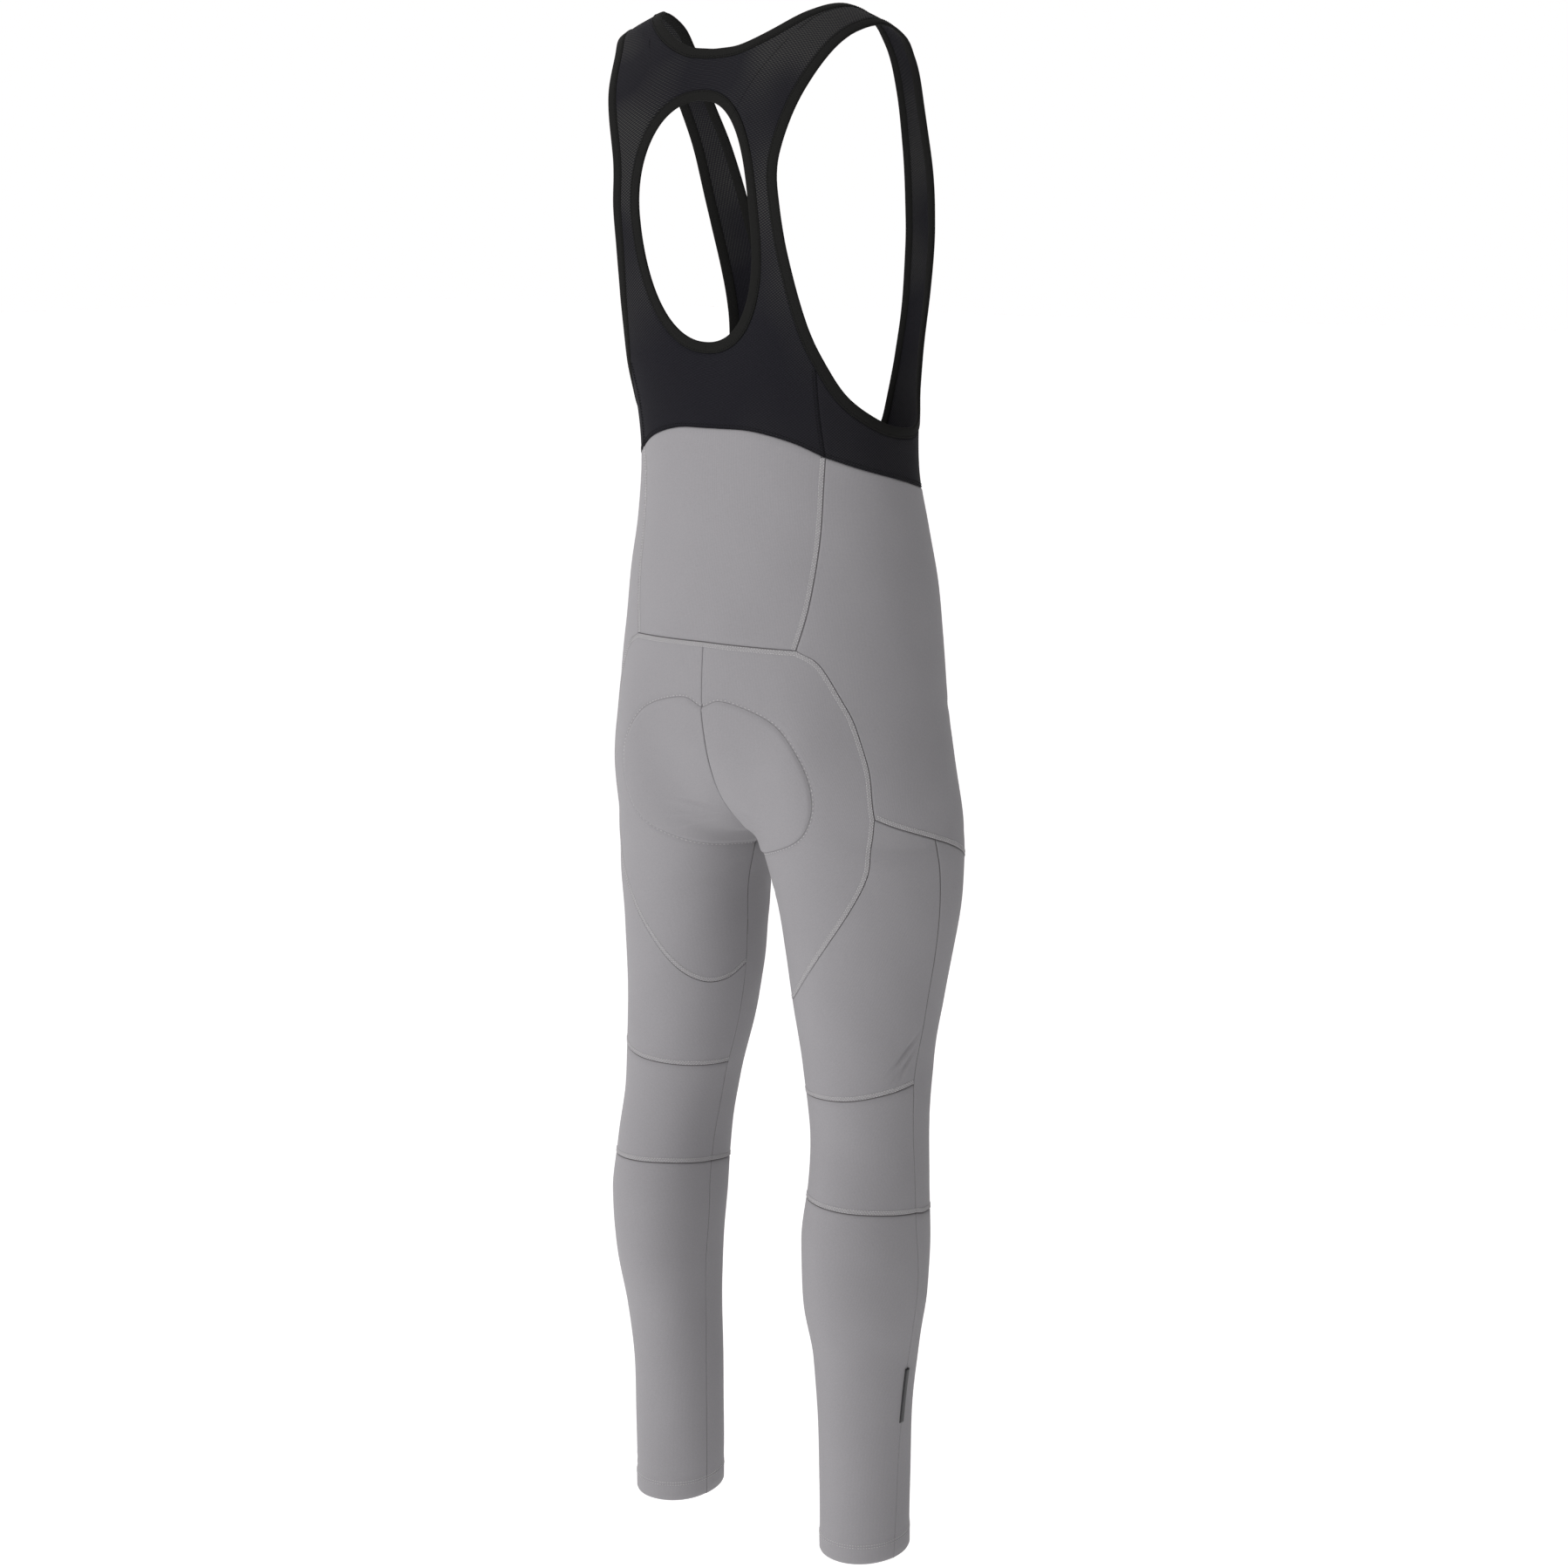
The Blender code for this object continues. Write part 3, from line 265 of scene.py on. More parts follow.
# Grey seams that are stitched flat, and the side of the join that the stitches are on
STITCHED = {
    "waist_side": 1, "waist_foot": 1, "seat_upper": 1, "seat_lower": 1, "cross_back": -1,
    "cross_front": -1, "knee_upper": 1, "knee_lower": 1, "knee_front": -1,
}

# Bindings: across from the seam (0) to the free edge (1), and height over the cloth in millimetres
BINDING = ((0.00, 0.05), (0.03, 0.45), (0.09, 0.78), (0.16, 0.62), (0.22, 0.80), (0.45, 0.90),
           (0.70, 0.88), (0.90, 0.78), (0.98, 0.50), (1.02, -0.30), (1.01, -1.10), (0.97, -1.75),
           (0.80, -2.00), (0.40, -2.05), (0.08, -1.95), (0.00, -1.45))
BINDING_STITCH, BINDING_ROUND, BINDING_TOP = 0.16, 0.022, 4

# Sizes of the knit's ribs and loops, the mesh's rows and the elastic's ribs, then their forms
KNIT_RIB, KNIT_LOOP, MESH_PITCH, BAND_RIB = 0.00115, 0.00095, 0.0034, 0.0011
KNIT_SLANT, KNIT_LOOP_RISE, KNIT_FOOT, BAND_RISE = 6.0, 0.18, 0.25, 0.35
MESH_ROWS = ((1.6, 0.30), (-1.1, 0.18))
NAP, BEADS = (1500.0, 4.0, 0.8), 1800.0

# Cloths: color, how much it varies, roughness, gloss, sheen and the depth of the yarn
FABRICS = {
    "knit": ((0.294, 0.288, 0.301), 0.10, 0.90, 0.15, 0.08, 0.00016),
    "bib": ((0.0115, 0.0112, 0.0150), 0.30, 0.85, 0.07, 0.010, 0.00030),
    "band": ((0.0125, 0.0125, 0.0120), 0.20, 0.80, 0.05, 0.005, 0.00012),
    "pad": ((0.045, 0.045, 0.050), 0.25, 0.95, 0.10, 0.05, 0.00030),
    "tab": ((0.030, 0.030, 0.032), 0.15, 0.40, 0.30, 0.00, 0.00008),
    "tape": ((0.336, 0.330, 0.340), 0.10, 0.90, 0.15, 0.08, 0.00010),
    # The join's dark grey is painted shade, standing for the shadow in the seams' grooves
    "join": ((0.110, 0.104, 0.106), 0.10, 0.90, 0.05, 0.00, 0.00005),
    "thread": ((0.580, 0.570, 0.580), 0.10, 0.80, 0.15, 0.05, 0.00005),
    "black_thread": ((0.0100, 0.0100, 0.0105), 0.10, 0.80, 0.06, 0.01, 0.00005),
}
SHEEN_ROUGHNESS, BUMP = 0.5, 0.6

# How a cloth's color varies: scale, detail and roughness of two noises, then each effect's share and what is
# left without it. The yarn's effect is painted shade, darker where its bump is low
FLECK, DRIFT = (700.0, 3.0, 0.7), (9.0, 2.0, 0.5)
DRIFT_LIGHT, YARN_RECESS_SHADE = (0.10, 0.95), (0.24, 0.88)

# The bib's bright yarn, partly the mesh opening as it stretches and partly painted sheen where light falls
# from above: color and sharpness, how much shows as the mesh opens upwards, and in patches of painted sheen
BIB_YARN_SHEEN, YARN_POWER = (0.056, 0.056, 0.051), 3.0
CLOSED_MESH_LEAST_SHEEN, OPEN_MESH_MOST_SHEEN, YARN_SHEEN_CLOSED, YARN_SHEEN_OPEN = -0.34, -0.10, 0.35, 1.25
SHEEN_PATCH, SHEEN_PATCH_FROM, SHEEN_PATCH_FULL, SHEEN_PATCH_LEAST, SHEEN_PATCH_MOST = (10.0, 1.0, 0.4), 0.42, 0.62, 0.15, 1.60

# Panels with fine forms, and how many times finer they are
FINER = {"seat": 3, "hip": 2, "thigh_back": 3, "thigh_front": 2, "calf": 2}

# The camera: place, degrees across from the back view, degrees down, and lens
CAMERA_PLACE = (-1.5948, 2.0724, -0.16)
CAMERA_ACROSS, CAMERA_DOWN, CAMERA_LENS = 37.0, 11.5, 65.87

# The floor, the surrounding light and its dimmer part
FLOOR, FLOOR_BELOW, FLOOR_GLOW, FLOOR_ROUGHNESS = 30.0, 0.20, 0.42, 0.9
FLOOR_COLOR, SKY_COLOR = (0.90, 0.90, 0.90, 1.0), (1.02, 1.00, 1.00, 1.0)
DIM_WAY, DIM_FROM, DIM_FULL, DIM_LEAST = (-0.95, -0.30, 0.0), -0.15, 0.65, 0.02

# The lamps: name, place, aim, size and power
LAMPS = (
    ("key", (0.9, 3.2, 0.3), (0.0, 0.0, -0.75), 1.2, 18.0),
    ("low", (0.3, 2.2, -1.30), (0.0, 0.0, -0.75), 0.8, 0.5),
    ("top", (0.0, 0.5, 3.4), (0.0, 0.0, -1.40), 2.5, 25.0),
)


def column(table, names, name, level):
    """The named column of a table of sections, smooth between its rows and never beyond them."""
    levels = np.array([row[0] for row in table])
    values = np.array([row[names.index(name)] for row in table])
    steps = np.diff(values) / np.diff(levels)
    before, after = np.append(steps[0], steps), np.append(steps, steps[-1])
    steepest = 3 * np.minimum(np.abs(before), np.abs(after)) * (before * after > 0)
    slopes = np.clip(np.gradient(values, levels), -steepest, steepest)
    level = np.clip(level, levels[0], levels[-1])
    i = np.clip(np.searchsorted(levels, level) - 1, 0, len(levels) - 2)
    span = levels[i + 1] - levels[i]
    t = (level - levels[i]) / span
    near = (1 + 2 * t) * (1 - t) ** 2 * values[i] + t * (1 - t) ** 2 * span * slopes[i]
    far = t * t * (3 - 2 * t) * values[i + 1] + t * t * (t - 1) * span * slopes[i + 1]
    return near + far


def ease(t):
    t = np.clip(t, 0.0, 1.0)
    return t * t * (3 - 2 * t)


def middle_share(turn):
    """1 on the inside of the leg, 0 on the outer side."""
    return np.cos(math.pi * turn) ** BLEND_POWER


def soft(amount, width):
    """The amount where it is above zero, else zero, with a rounded corner of that width."""
    return (amount + np.sqrt(amount * amount + width * width)) / 2


def leg_point(turn, level):
    """A leg's section: an ellipse, skewed where the calf and the thigh turn outwards."""
    inner, outer, front, back, skew = (
        column(LEG, LEG_COLUMNS, name, level) for name in LEG_COLUMNS[1:])
    beside = middle_share(turn) * (1 - middle_share(turn))
    below = soft(CROTCH + ARCH_CLIMB * beside - level, ARCH_SOFT * beside)
    below = np.clip(below / ARCH, 0.0, 1.0)
    inner = inner * np.sqrt(2 * below - below * below)
    angle = 2 * math.pi * turn - math.pi / 2
    middle_out = (inner + outer) / 2
    out = middle_out + (outer - inner) / 2 * np.sin(angle)
    depth = (front + back) / 2 - (back - front) / 2 * np.cos(angle) + skew * (out - middle_out)
    return out, depth


def body_point(turn, level):
    """The body's section: half an oval, with its own depth to the front and to the back."""
    height, outer, middle, front, back, squareness = (
        column(BODY, BODY_COLUMNS, name, level) for name in BODY_COLUMNS[1:])
    along = np.cos(math.pi * turn)
    across = np.abs(np.sin(math.pi * turn))
    out = outer * across ** (2 / squareness)
    reach = np.where(along > 0, front, back)
    depth = middle - reach * np.sign(along) * np.abs(along) ** (2 / squareness)
    fall = (out / SHOULDER_REACH) ** FALL_POWER - (STRAP_MIDDLE / SHOULDER_REACH) ** FALL_POWER
    height = height - SHOULDER_FALL * ease((level - FALL_FOOT) / FALL_FADE) * fall
    return out, depth, height, along


def form(turn, level):
    """The outer surface of the right half, as distance out, back and up."""
    turn, level = np.broadcast_arrays(np.asarray(turn, float), np.asarray(level, float))
    ends = middle_share(turn)
    climb = soft(level - CROTCH, BLEND_SOFT * ends * (1 - ends))
    climb = np.clip(climb / (HIP - CROTCH), 0.0, 1.0)
    share = ends * np.sqrt(2 * climb - climb * climb) + (1 - ends) * ease(climb)
    leg_out, leg_depth = leg_point(turn, level)
    body_out, body_depth, body_height, along = body_point(turn, level)
    out = (1 - share) * leg_out + share * body_out
    depth = (1 - share) * leg_depth + share * body_depth
    height = np.where(level > HIP, body_height, level)
    seat = ((turn - SEAT_TURN) / SEAT_TURN_SPREAD) ** 2 + ((level - SEAT_LEVEL) / SEAT_LEVEL_SPREAD) ** 2
    depth = depth + SEAT_RISE * np.exp(-seat) * (1 - np.cos(math.pi * turn) ** SEAT_POWER)
    spine = ease((level - SPINE_FOOT) / SPINE_FOOT_FADE) * ease((SPINE_TOP - level) / SPINE_TOP_FADE)
    spine = spine * (along < 0)
    depth = depth - SPINE_HOLLOW * spine * np.exp(-(out / SPINE_SPREAD) ** 2)
    return np.stack([out, depth, height], -1)


def on_middle(chart):
    """True where a chart point is in the plane between the two halves."""
    turn, level = chart[..., 0], chart[..., 1]
    return (level > CROTCH - SAME) & ((np.abs(turn) < SAME) | (np.abs(turn - 1) < SAME))


def slopes(chart):
    """How the surface moves with turn and with level."""
    turn, level = chart[..., 0], chart[..., 1]
    step = SLOPE_STEP
    high_turn = np.where((level > CROTCH) & (turn > 1 - step), turn, turn + step)
    low_turn = np.where((level > CROTCH) & (turn < step), turn, turn - step)
    across = (form(high_turn, level) - form(low_turn, level)) / (high_turn - low_turn)[..., None]
    upward = (form(turn, level + step) - form(turn, level - step)) / (2 * step)
    return across, upward


def normals(chart):
    """The surface's outward directions."""
    across, upward = slopes(chart)
    direction = np.cross(across, upward)
    direction[..., 0] = np.where(on_middle(chart), 0.0, direction[..., 0])
    return direction / np.linalg.norm(direction, axis=-1, keepdims=True)


def surface(chart):
    """Points of the outer surface, exactly in the middle plane where they belong there."""
    points = form(chart[..., 0], chart[..., 1])
    points[..., 0] = np.where(on_middle(chart), 0.0, points[..., 0])
    return points


def turn_at(out, level, back):
    """The turn at a distance out from the middle, on the body's back or front."""
    outer = column(BODY, BODY_COLUMNS, "outer", level)
    squareness = column(BODY, BODY_COLUMNS, "squareness", level)
    part = np.arcsin(np.clip(out / outer, 0.0, 1.0) ** (squareness / 2)) / math.pi
    return np.where(back, 1 - part, part)


def sheet(points, back):
    """Distances out and levels, turned into chart points."""
    points = np.array(points)
    return np.stack([turn_at(points[:, 0], points[:, 1], back), points[:, 1]], -1)


def run_along(points):
    """The length of a line of points, up to each of them."""
    return np.concatenate([[0.0], np.cumsum(np.linalg.norm(np.diff(points, axis=0), axis=1))])


def trace(points, spans, stops=None):
    """A smooth curve through chart points, cut into equal lengths between its stops."""
    points = np.array(points, float)
    spans = [spans] if stops is None else spans
    stops = [0, len(points) - 1] if stops is None else [0] + list(stops) + [len(points) - 1]
    before = np.vstack([2 * points[0] - points[1], points[:-1]])
    after = np.vstack([points[1:], 2 * points[-1] - points[-2]])
    pull = (after - before) / 2
    steps = np.linspace(0, 1, CURVE_STEPS + 1)[:-1, None]
    parts = []
    for a, b, pull_a, pull_b in zip(points, points[1:], pull, pull[1:]):
        near = (1 + 2 * steps) * (1 - steps) ** 2 * a + steps * (1 - steps) ** 2 * pull_a
        far = steps ** 2 * (3 - 2 * steps) * b + steps ** 2 * (steps - 1) * pull_b
        parts.append(near + far)
    dense = np.vstack(parts + [points[-1:]])
    run = run_along(surface(dense))
    wanted = [[0.0]]
    for first, last, count in zip(stops, stops[1:], spans):
        wanted.append(np.linspace(run[CURVE_STEPS * first], run[CURVE_STEPS * last], count + 1)[1:])
    wanted = np.concatenate(wanted)
    curve = np.stack([np.interp(wanted, run, dense[:, k]) for k in range(2)], -1)
    curve[0] = points[0]
    curve[-1] = points[-1]
    return curve


def shift(chart, sideways):
    """Chart points moved a distance along the surface, square to the curve that they lie on."""
    points = surface(chart)
    along = np.gradient(points, axis=0)
    along /= np.linalg.norm(along, axis=1, keepdims=True)
    move = np.cross(normals(chart), along) * sideways
    across, upward = slopes(chart)
    moved = chart.copy()
    for i in range(len(chart)):
        basis = np.stack([across[i], upward[i]], -1)
        moved[i] += np.linalg.lstsq(basis, move[i], rcond=None)[0]
    return moved


def fill(bottom, top, left, right):
    """A grid between four sides that meet at their ends, in the chart."""
    s = np.linspace(0, 1, len(bottom))[None, :, None]
    t = np.linspace(0, 1, len(left))[:, None, None]
    ruled = (1 - t) * bottom[None] + t * top[None] + (1 - s) * left[:, None] + s * right[:, None]
    corners = ((1 - s) * (1 - t) * bottom[0] + s * (1 - t) * bottom[-1]
               + (1 - s) * t * top[0] + s * t * top[-1])
    return ruled - corners


def join(*curves):
    """Curves end to end, each shared point once."""
    return np.vstack([curves[0]] + [curve[1:] for curve in curves[1:]])


def around(curve):
    """A curve on the inside of the leg, counted from the front of it."""
    return curve - np.array([1.0, 0.0])


def bib_edges():
    """The bib's free edges, and the seams a band's width inside them."""
    neck_back = trace(sheet(NECK_BACK, True), SPANS["neck_back"])
    neck_front = trace(sheet(NECK_FRONT, False), (SPANS["neck_strap"], SPANS["neck_scoop"]), NECK_STOPS)
    armhole = trace(np.vstack([sheet(ARMHOLE_BACK, True), np.array(ARMPIT), sheet(ARMHOLE_FRONT, False)]),
                    (SPANS["armhole_back"], SPANS["armpit"], SPANS["neck_strap"]), ARMHOLE_STOPS)
    neck_back_seam = shift(neck_back, BAND_WIDTH)
    neck_front_seam = shift(neck_front, BAND_WIDTH)
    armhole_seam = shift(armhole, BAND_WIDTH)
    neck_out = NECK_BACK[-1][0] + BAND_WIDTH
    arm_out = ARMHOLE_BACK[0][0] - BAND_WIDTH
    neck_back_seam[0] = (1.0, NECK_BACK[0][1] - BAND_WIDTH)
    neck_back_seam[-1] = (turn_at(neck_out, RIDGE, True), RIDGE)
    neck_front_seam[0] = (turn_at(neck_out, RIDGE, False), RIDGE)
    neck_front_seam[-1] = (0.0, NECK_FRONT[-1][1] - BAND_WIDTH)
    armhole_seam[0] = (turn_at(arm_out, RIDGE, True), RIDGE)
    armhole_seam[-1] = (turn_at(arm_out, RIDGE, False), RIDGE)
    return neck_back, neck_back_seam, neck_front, neck_front_seam, armhole, armhole_seam


def straight(a, b, spans):
    return np.linspace(a, b, spans + 1)


def leg_pieces(s):
    """The grids of the pieces of the right leg and hip, each with its sides named by seams."""
    top_of_front = join(s["cross_front"], around(s["inseam_top"]))
    thigh_inside = join(s["inseam_thigh"], s["inseam_knee"])
    thigh_outside = join(s["outseam_thigh"], s["outseam_knee"])
    cross_and_seat = join(s["cross_back"][::-1], s["seat_lower"])
    seat_inside = join(s["back_middle"], s["inseam_top"])
    foot = len(seat_inside) - len(s["seat_upper"])
    return {
        "seat": fill(s["waist_foot"], s["seat_lower"][foot:][::-1], seat_inside,
                     join(s["seat_upper"], s["seat_lower"][:foot + 1])),
        "hip": fill(s["border_front"], join(s["cross_back"], s["cross_front"]),
                    join(s["waist_side"], s["seat_upper"]), s["front_middle"]),
        "thigh_back": fill(s["knee_upper"], cross_and_seat, s["outseam_thigh"][::-1],
                           s["inseam_thigh"][::-1]),
        "thigh_front": fill(s["knee_front"], top_of_front, thigh_outside[::-1],
                            around(thigh_inside)[::-1]),
        "knee_back": fill(s["knee_lower"], s["knee_upper"], s["outseam_knee"][::-1],
                          s["inseam_knee"][::-1]),
        "calf": fill(s["hem_back"], s["knee_lower"], s["outseam_calf"][::-1],
                     s["inseam_calf"][::-1]),
        "shin": fill(s["hem_front"], s["knee_front"], s["outseam_calf"][::-1],
                     around(s["inseam_calf"])[::-1]),
    }


def cutout_point(angle, grow=0.0):
    """A point of the oval at an angle round its centre, as distance out and level."""
    half, rise = CUTOUT_HALF + grow, CUTOUT_RISE + grow
    bend = (abs(math.cos(angle)) / half) ** CUTOUT_ROUND + (abs(math.sin(angle)) / rise) ** CUTOUT_ROUND
    radius = bend ** (-1 / CUTOUT_ROUND)
    return radius * math.cos(angle), CUTOUT_LEVEL + radius * math.sin(angle)


def bib_back_outline(s, side_seam, neck_seam, armhole_seam):
    """The right half of the back's outline, from the middle of the border up to the neck."""
    armhole = armhole_seam[:SPANS["armhole_back"] + 1][::-1]
    shoulder = straight(armhole_seam[0], neck_seam[-1], SPANS["shoulder"])
    return join(s["border_back"], side_seam, armhole, shoulder, neck_seam[::-1])


def out_and_level(chart):
    return np.stack([surface(chart)[:, 0], chart[:, 1]], -1)


def girths():
    """The length of the section round the right half, at many levels."""
    levels = np.linspace(HEM - GIRTH_BELOW, GIRTH_TOP, GIRTH_ROWS)
    turns = np.linspace(0.0, 1.0, GIRTH_COLUMNS)
    points = form(turns[None], levels[:, None])
    return levels, np.linalg.norm(np.diff(points, axis=1), axis=-1).sum(axis=1)


GIRTH_LEVELS, GIRTHS = girths()


def girth(level):
    return np.interp(level, GIRTH_LEVELS, GIRTHS)


def metric(chart):
    """Chart points as distances over the cloth: round from the back middle, and up."""
    return np.stack([(1 - chart[..., 0]) * girth(chart[..., 1]), chart[..., 1]], -1)


def pad_outline():
    """The stitched edge of the pad on the right half, from the back middle to the front middle."""
    back = [(1.0, PAD_TOP_BACK)] + [(turn, level) for middle, turn, level in PAD_BACK]
    front = [(turn, level) for middle, turn, level in PAD_FRONT] + [(0.0, PAD_TOP_FRONT)]
    front = [(0.0, PAD_BACK[-1][2])] + front
    return trace(back, PAD_BACK_SPANS), trace(front, PAD_FRONT_SPANS)


PAD_LINES = pad_outline()


def inside_and_near(chart, line, middle_turn):
    """How far chart points are inside a line that is closed by the middle, in metres."""
    shape = metric(np.vstack([line, [[middle_turn, line[-1, 1]], [middle_turn, line[0, 1]]]]))
    points = metric(chart)
    near = np.full(chart.shape[:-1], np.inf)
    inside = np.zeros(chart.shape[:-1], bool)
    stitched = len(line) - 1
    for i, (a, b) in enumerate(zip(shape, np.roll(shape, -1, axis=0))):
        if i < stitched:
            reach = np.clip(((points - a) @ (b - a)) / max((b - a) @ (b - a), TINY), 0, 1)
            near = np.minimum(near, np.linalg.norm(points - a - reach[..., None] * (b - a), axis=-1))
        crosses = (a[1] > points[..., 1]) != (b[1] > points[..., 1])
        rise = np.where(abs(b[1] - a[1]) > TINY, b[1] - a[1], TINY)
        crossing = a[0] + (points[..., 1] - a[1]) / rise * (b[0] - a[0])
        inside ^= crosses & (points[..., 0] < crossing)
    return np.where(inside, near, -near)


def relief(chart, side):
    """How far the cloth stands out from the smooth surface."""
    turn, level = chart[..., 0], chart[..., 1]
    round_way = metric(chart)[..., 0] * side
    height = SWELL * np.sin(2 * math.pi * round_way / SWELL_ROUND + BEND_ROUND * np.sin(level / SWELL_UP))
    height = height * np.sin(2 * math.pi * level / SWELL_UP + BEND_UP * np.sin(round_way / SWELL_ROUND))
    for fold_side, fold_turn, fold_level, tilt, length, width, depth in FOLDS:
        if fold_side != side:
            continue
        reach = (np.mod(turn - fold_turn + 0.5, 1.0) - 0.5) * girth(level)
        rise = level - fold_level
        tilt = math.radians(tilt)
        along = (reach * math.cos(tilt) + rise * math.sin(tilt)) * 1000 / length
        across = (rise * math.cos(tilt) - reach * math.sin(tilt)) * 1000 / width
        shape = np.exp(-along ** 2 - across ** 2) * (1 - COMPANION * across ** 2)
        height = height - depth / 1000 * shape
    height = height + HEM_RISE * ease((HEM + HEM_HEIGHT - level) / HEM_SOFT + 0.5)
    for line, middle_turn in zip(PAD_LINES, (1.0, 0.0)):
        if abs(level - CROTCH).min() > PAD_ZONE:
            continue
        depth = inside_and_near(chart, line, middle_turn)
        raised = PAD_RISE * ease(depth / PAD_SOFT)
        height = height + raised - PAD_GROOVE * np.exp(-(depth / PAD_GROOVE_WIDTH) ** 2)
    return height


def no_relief(chart, side):
    return np.zeros(chart.shape[:-1])


def more_rows(rows, times):
    """Rows of chart points, with others between them so that each step becomes so many."""
    steps = np.linspace(0, len(rows) - 1, times * (len(rows) - 1) + 1)
    low = np.minimum(steps.astype(int), len(rows) - 2)
    part = (steps - low)[:, None, None]
    return (1 - part) * rows[low] + part * rows[low + 1]


def refined(grid, times):
    """A grid with each cell cut into so many rows and columns."""
    for axis in range(2):
        grid = more_rows(np.swapaxes(grid, 0, 1), times)
    return grid


def edged(grid, share):
    """A grid with one more line inside each of its four sides, at a share of the first cell."""
    for axis in range(2):
        grid = np.swapaxes(grid, 0, 1)
        first = (1 - share) * grid[:1] + share * grid[1:2]
        last = (1 - share) * grid[-1:] + share * grid[-2:-1]
        grid = np.concatenate([grid[:1], first, grid[1:-1], last, grid[-1:]])
    return grid


def placed(chart, side, lift=0.0):
    """Chart points in space, lifted off the smooth surface."""
    flip = np.array([side, 1.0, 1.0])
    up = normals(chart) * flip
    points = surface(chart) * flip - np.array([0.0, SHOULDER_BACK, 0.0])
    return points + up * np.asarray(lift)[..., None], up


def added(name, data):
    """A named object in the scene."""
    thing = bpy.data.objects.new(name, data)
    bpy.context.scene.collection.objects.link(thing)
    return thing


def made(name, points, faces, finish, uv=None):
    """A named mesh object with smooth shading and its cloth coordinates."""
    mesh = bpy.data.meshes.new(name)
    mesh.from_pydata(np.asarray(points).tolist(), [], np.asarray(faces).tolist())
    mesh.shade_smooth()
    if uv is not None:
        layer = mesh.uv_layers.new(name="cloth")
        corner = np.empty(len(mesh.loops), dtype=np.int32)
        mesh.loops.foreach_get("vertex_index", corner)
        layer.data.foreach_set("uv", np.asarray(uv)[corner].ravel())
    mesh.materials.append(finish)
    piece = added(name, mesh)
    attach(piece, "root")
    return piece


def cells(ids):
    """Four-cornered faces between neighbours in a grid of point numbers."""
    return np.stack([ids[:-1, :-1], ids[:-1, 1:], ids[1:, 1:], ids[1:, :-1]], -1).reshape(-1, 4)


class Cloth:
    """Grids of one panel, joined where they share points, then made into a shell."""

    def __init__(self, height, thickness):
        self.height = height
        self.thickness = thickness
        self.parts = []

    def add(self, grid, side, share=ROLL_SHARE):
        grid = edged(grid, share)
        points, up = placed(grid, side, self.height(grid, side))
        plane = metric(grid) * np.array([side, 1.0])
        rows, columns = grid.shape[:2]
        ids = np.arange(rows * columns).reshape(rows, columns)
        faces = cells(ids)
        i, j = rows // 2, columns // 2
        facing = np.cross(points[i, j + 1] - points[i, j], points[i + 1, j] - points[i, j])
        if np.dot(facing, up[i, j]) < 0:
            faces = faces[:, ::-1]
        depth = self.thickness(grid) if callable(self.thickness) else np.full(ids.shape, self.thickness)
        self.parts.append((points.reshape(-1, 3), up.reshape(-1, 3), plane.reshape(-1, 2), depth.ravel(),
                           faces))

    def make(self, name, finish):
        points, up, plane, thickness = (np.concatenate(same)
                                        for same in zip(*[part[:4] for part in self.parts]))
        starts = np.cumsum([0] + [len(part[0]) for part in self.parts])
        faces = np.vstack([part[4] + start for part, start in zip(self.parts, starts)])
        keys, first, where = np.unique(np.round(points * POINTS_PER_METRE).astype(np.int64), axis=0,
                                       return_index=True, return_inverse=True)
        points, up, plane, thickness = points[first], up[first], plane[first], thickness[first]
        faces = where.ravel()[faces]
        edges = np.concatenate([faces[:, [k, (k + 1) % 4]] for k in range(4)])
        known = {tuple(edge) for edge in edges.tolist()}
        rim = np.array([(a, b) for a, b in known if (b, a) not in known])
        on_rim = np.zeros(len(points), bool)
        on_rim[rim.ravel()] = True
        outer = points - up * (ROLL * on_rim)[:, None]
        depth = np.where(on_rim, ROLL + thickness * RIM_THICKNESS, thickness)
        inner = points - up * depth[:, None]
        count = len(points)
        walls = np.stack([rim[:, 1], rim[:, 0], rim[:, 0] + count, rim[:, 1] + count], -1)
        quads = np.vstack([faces, faces[:, ::-1] + count, walls])
        return made(name, np.vstack([outer, inner]), quads, finish, np.vstack([plane, plane]))


def even(chart, pitch):
    """A curve's points an even distance apart, and half way between them."""
    run = run_along(surface(chart))
    count = max(int(run[-1] / pitch), 2)
    wanted = (np.arange(count) + 0.5) * run[-1] / count
    return np.stack([np.interp(wanted, run, chart[:, k]) for k in range(2)], -1)


class Thread:
    """Stitches gathered into one mesh, each a small pointed bead."""

    def __init__(self):
        self.points = []

    def lay(self, middle, along, up, size):
        length, width, height = size
        along = along / np.linalg.norm(along, axis=-1, keepdims=True)
        across = np.cross(up, along)
        corners = (along * length / 2, across * width / 2, -along * length / 2, -across * width / 2,
                   up * height, -up * height / 2)
        self.points.append(np.stack([middle + corner for corner in corners], 1).reshape(-1, 3))

    def row(self, chart, side, size, lift, height=relief):
        """Stitches end to end along a curve."""
        points, up = placed(chart, side, height(chart, side) + lift)
        self.lay(points, np.gradient(points, axis=0), up, size)

    def rungs(self, first, last, side, size, lift, height=relief):
        """Slanting stitches from one row to the next."""
        a, up = placed(first, side, height(first, side) + lift)
        b = np.roll(placed(last, side, height(last, side) + lift)[0], -1, axis=0)[:-1]
        self.lay((a[:-1] + b) / 2, b - a[:-1], up[:-1], size)

    def make(self, name, finish):
        points = np.vstack(self.points)
        base = np.arange(len(points) // 6)[:, None, None] * 6
        bead = np.array([(0, 1, 4), (1, 2, 4), (2, 3, 4), (3, 0, 4),
                         (1, 0, 5), (2, 1, 5), (3, 2, 5), (0, 3, 5)])
        return made(name, points, (base + bead).reshape(-1, 3), finish)


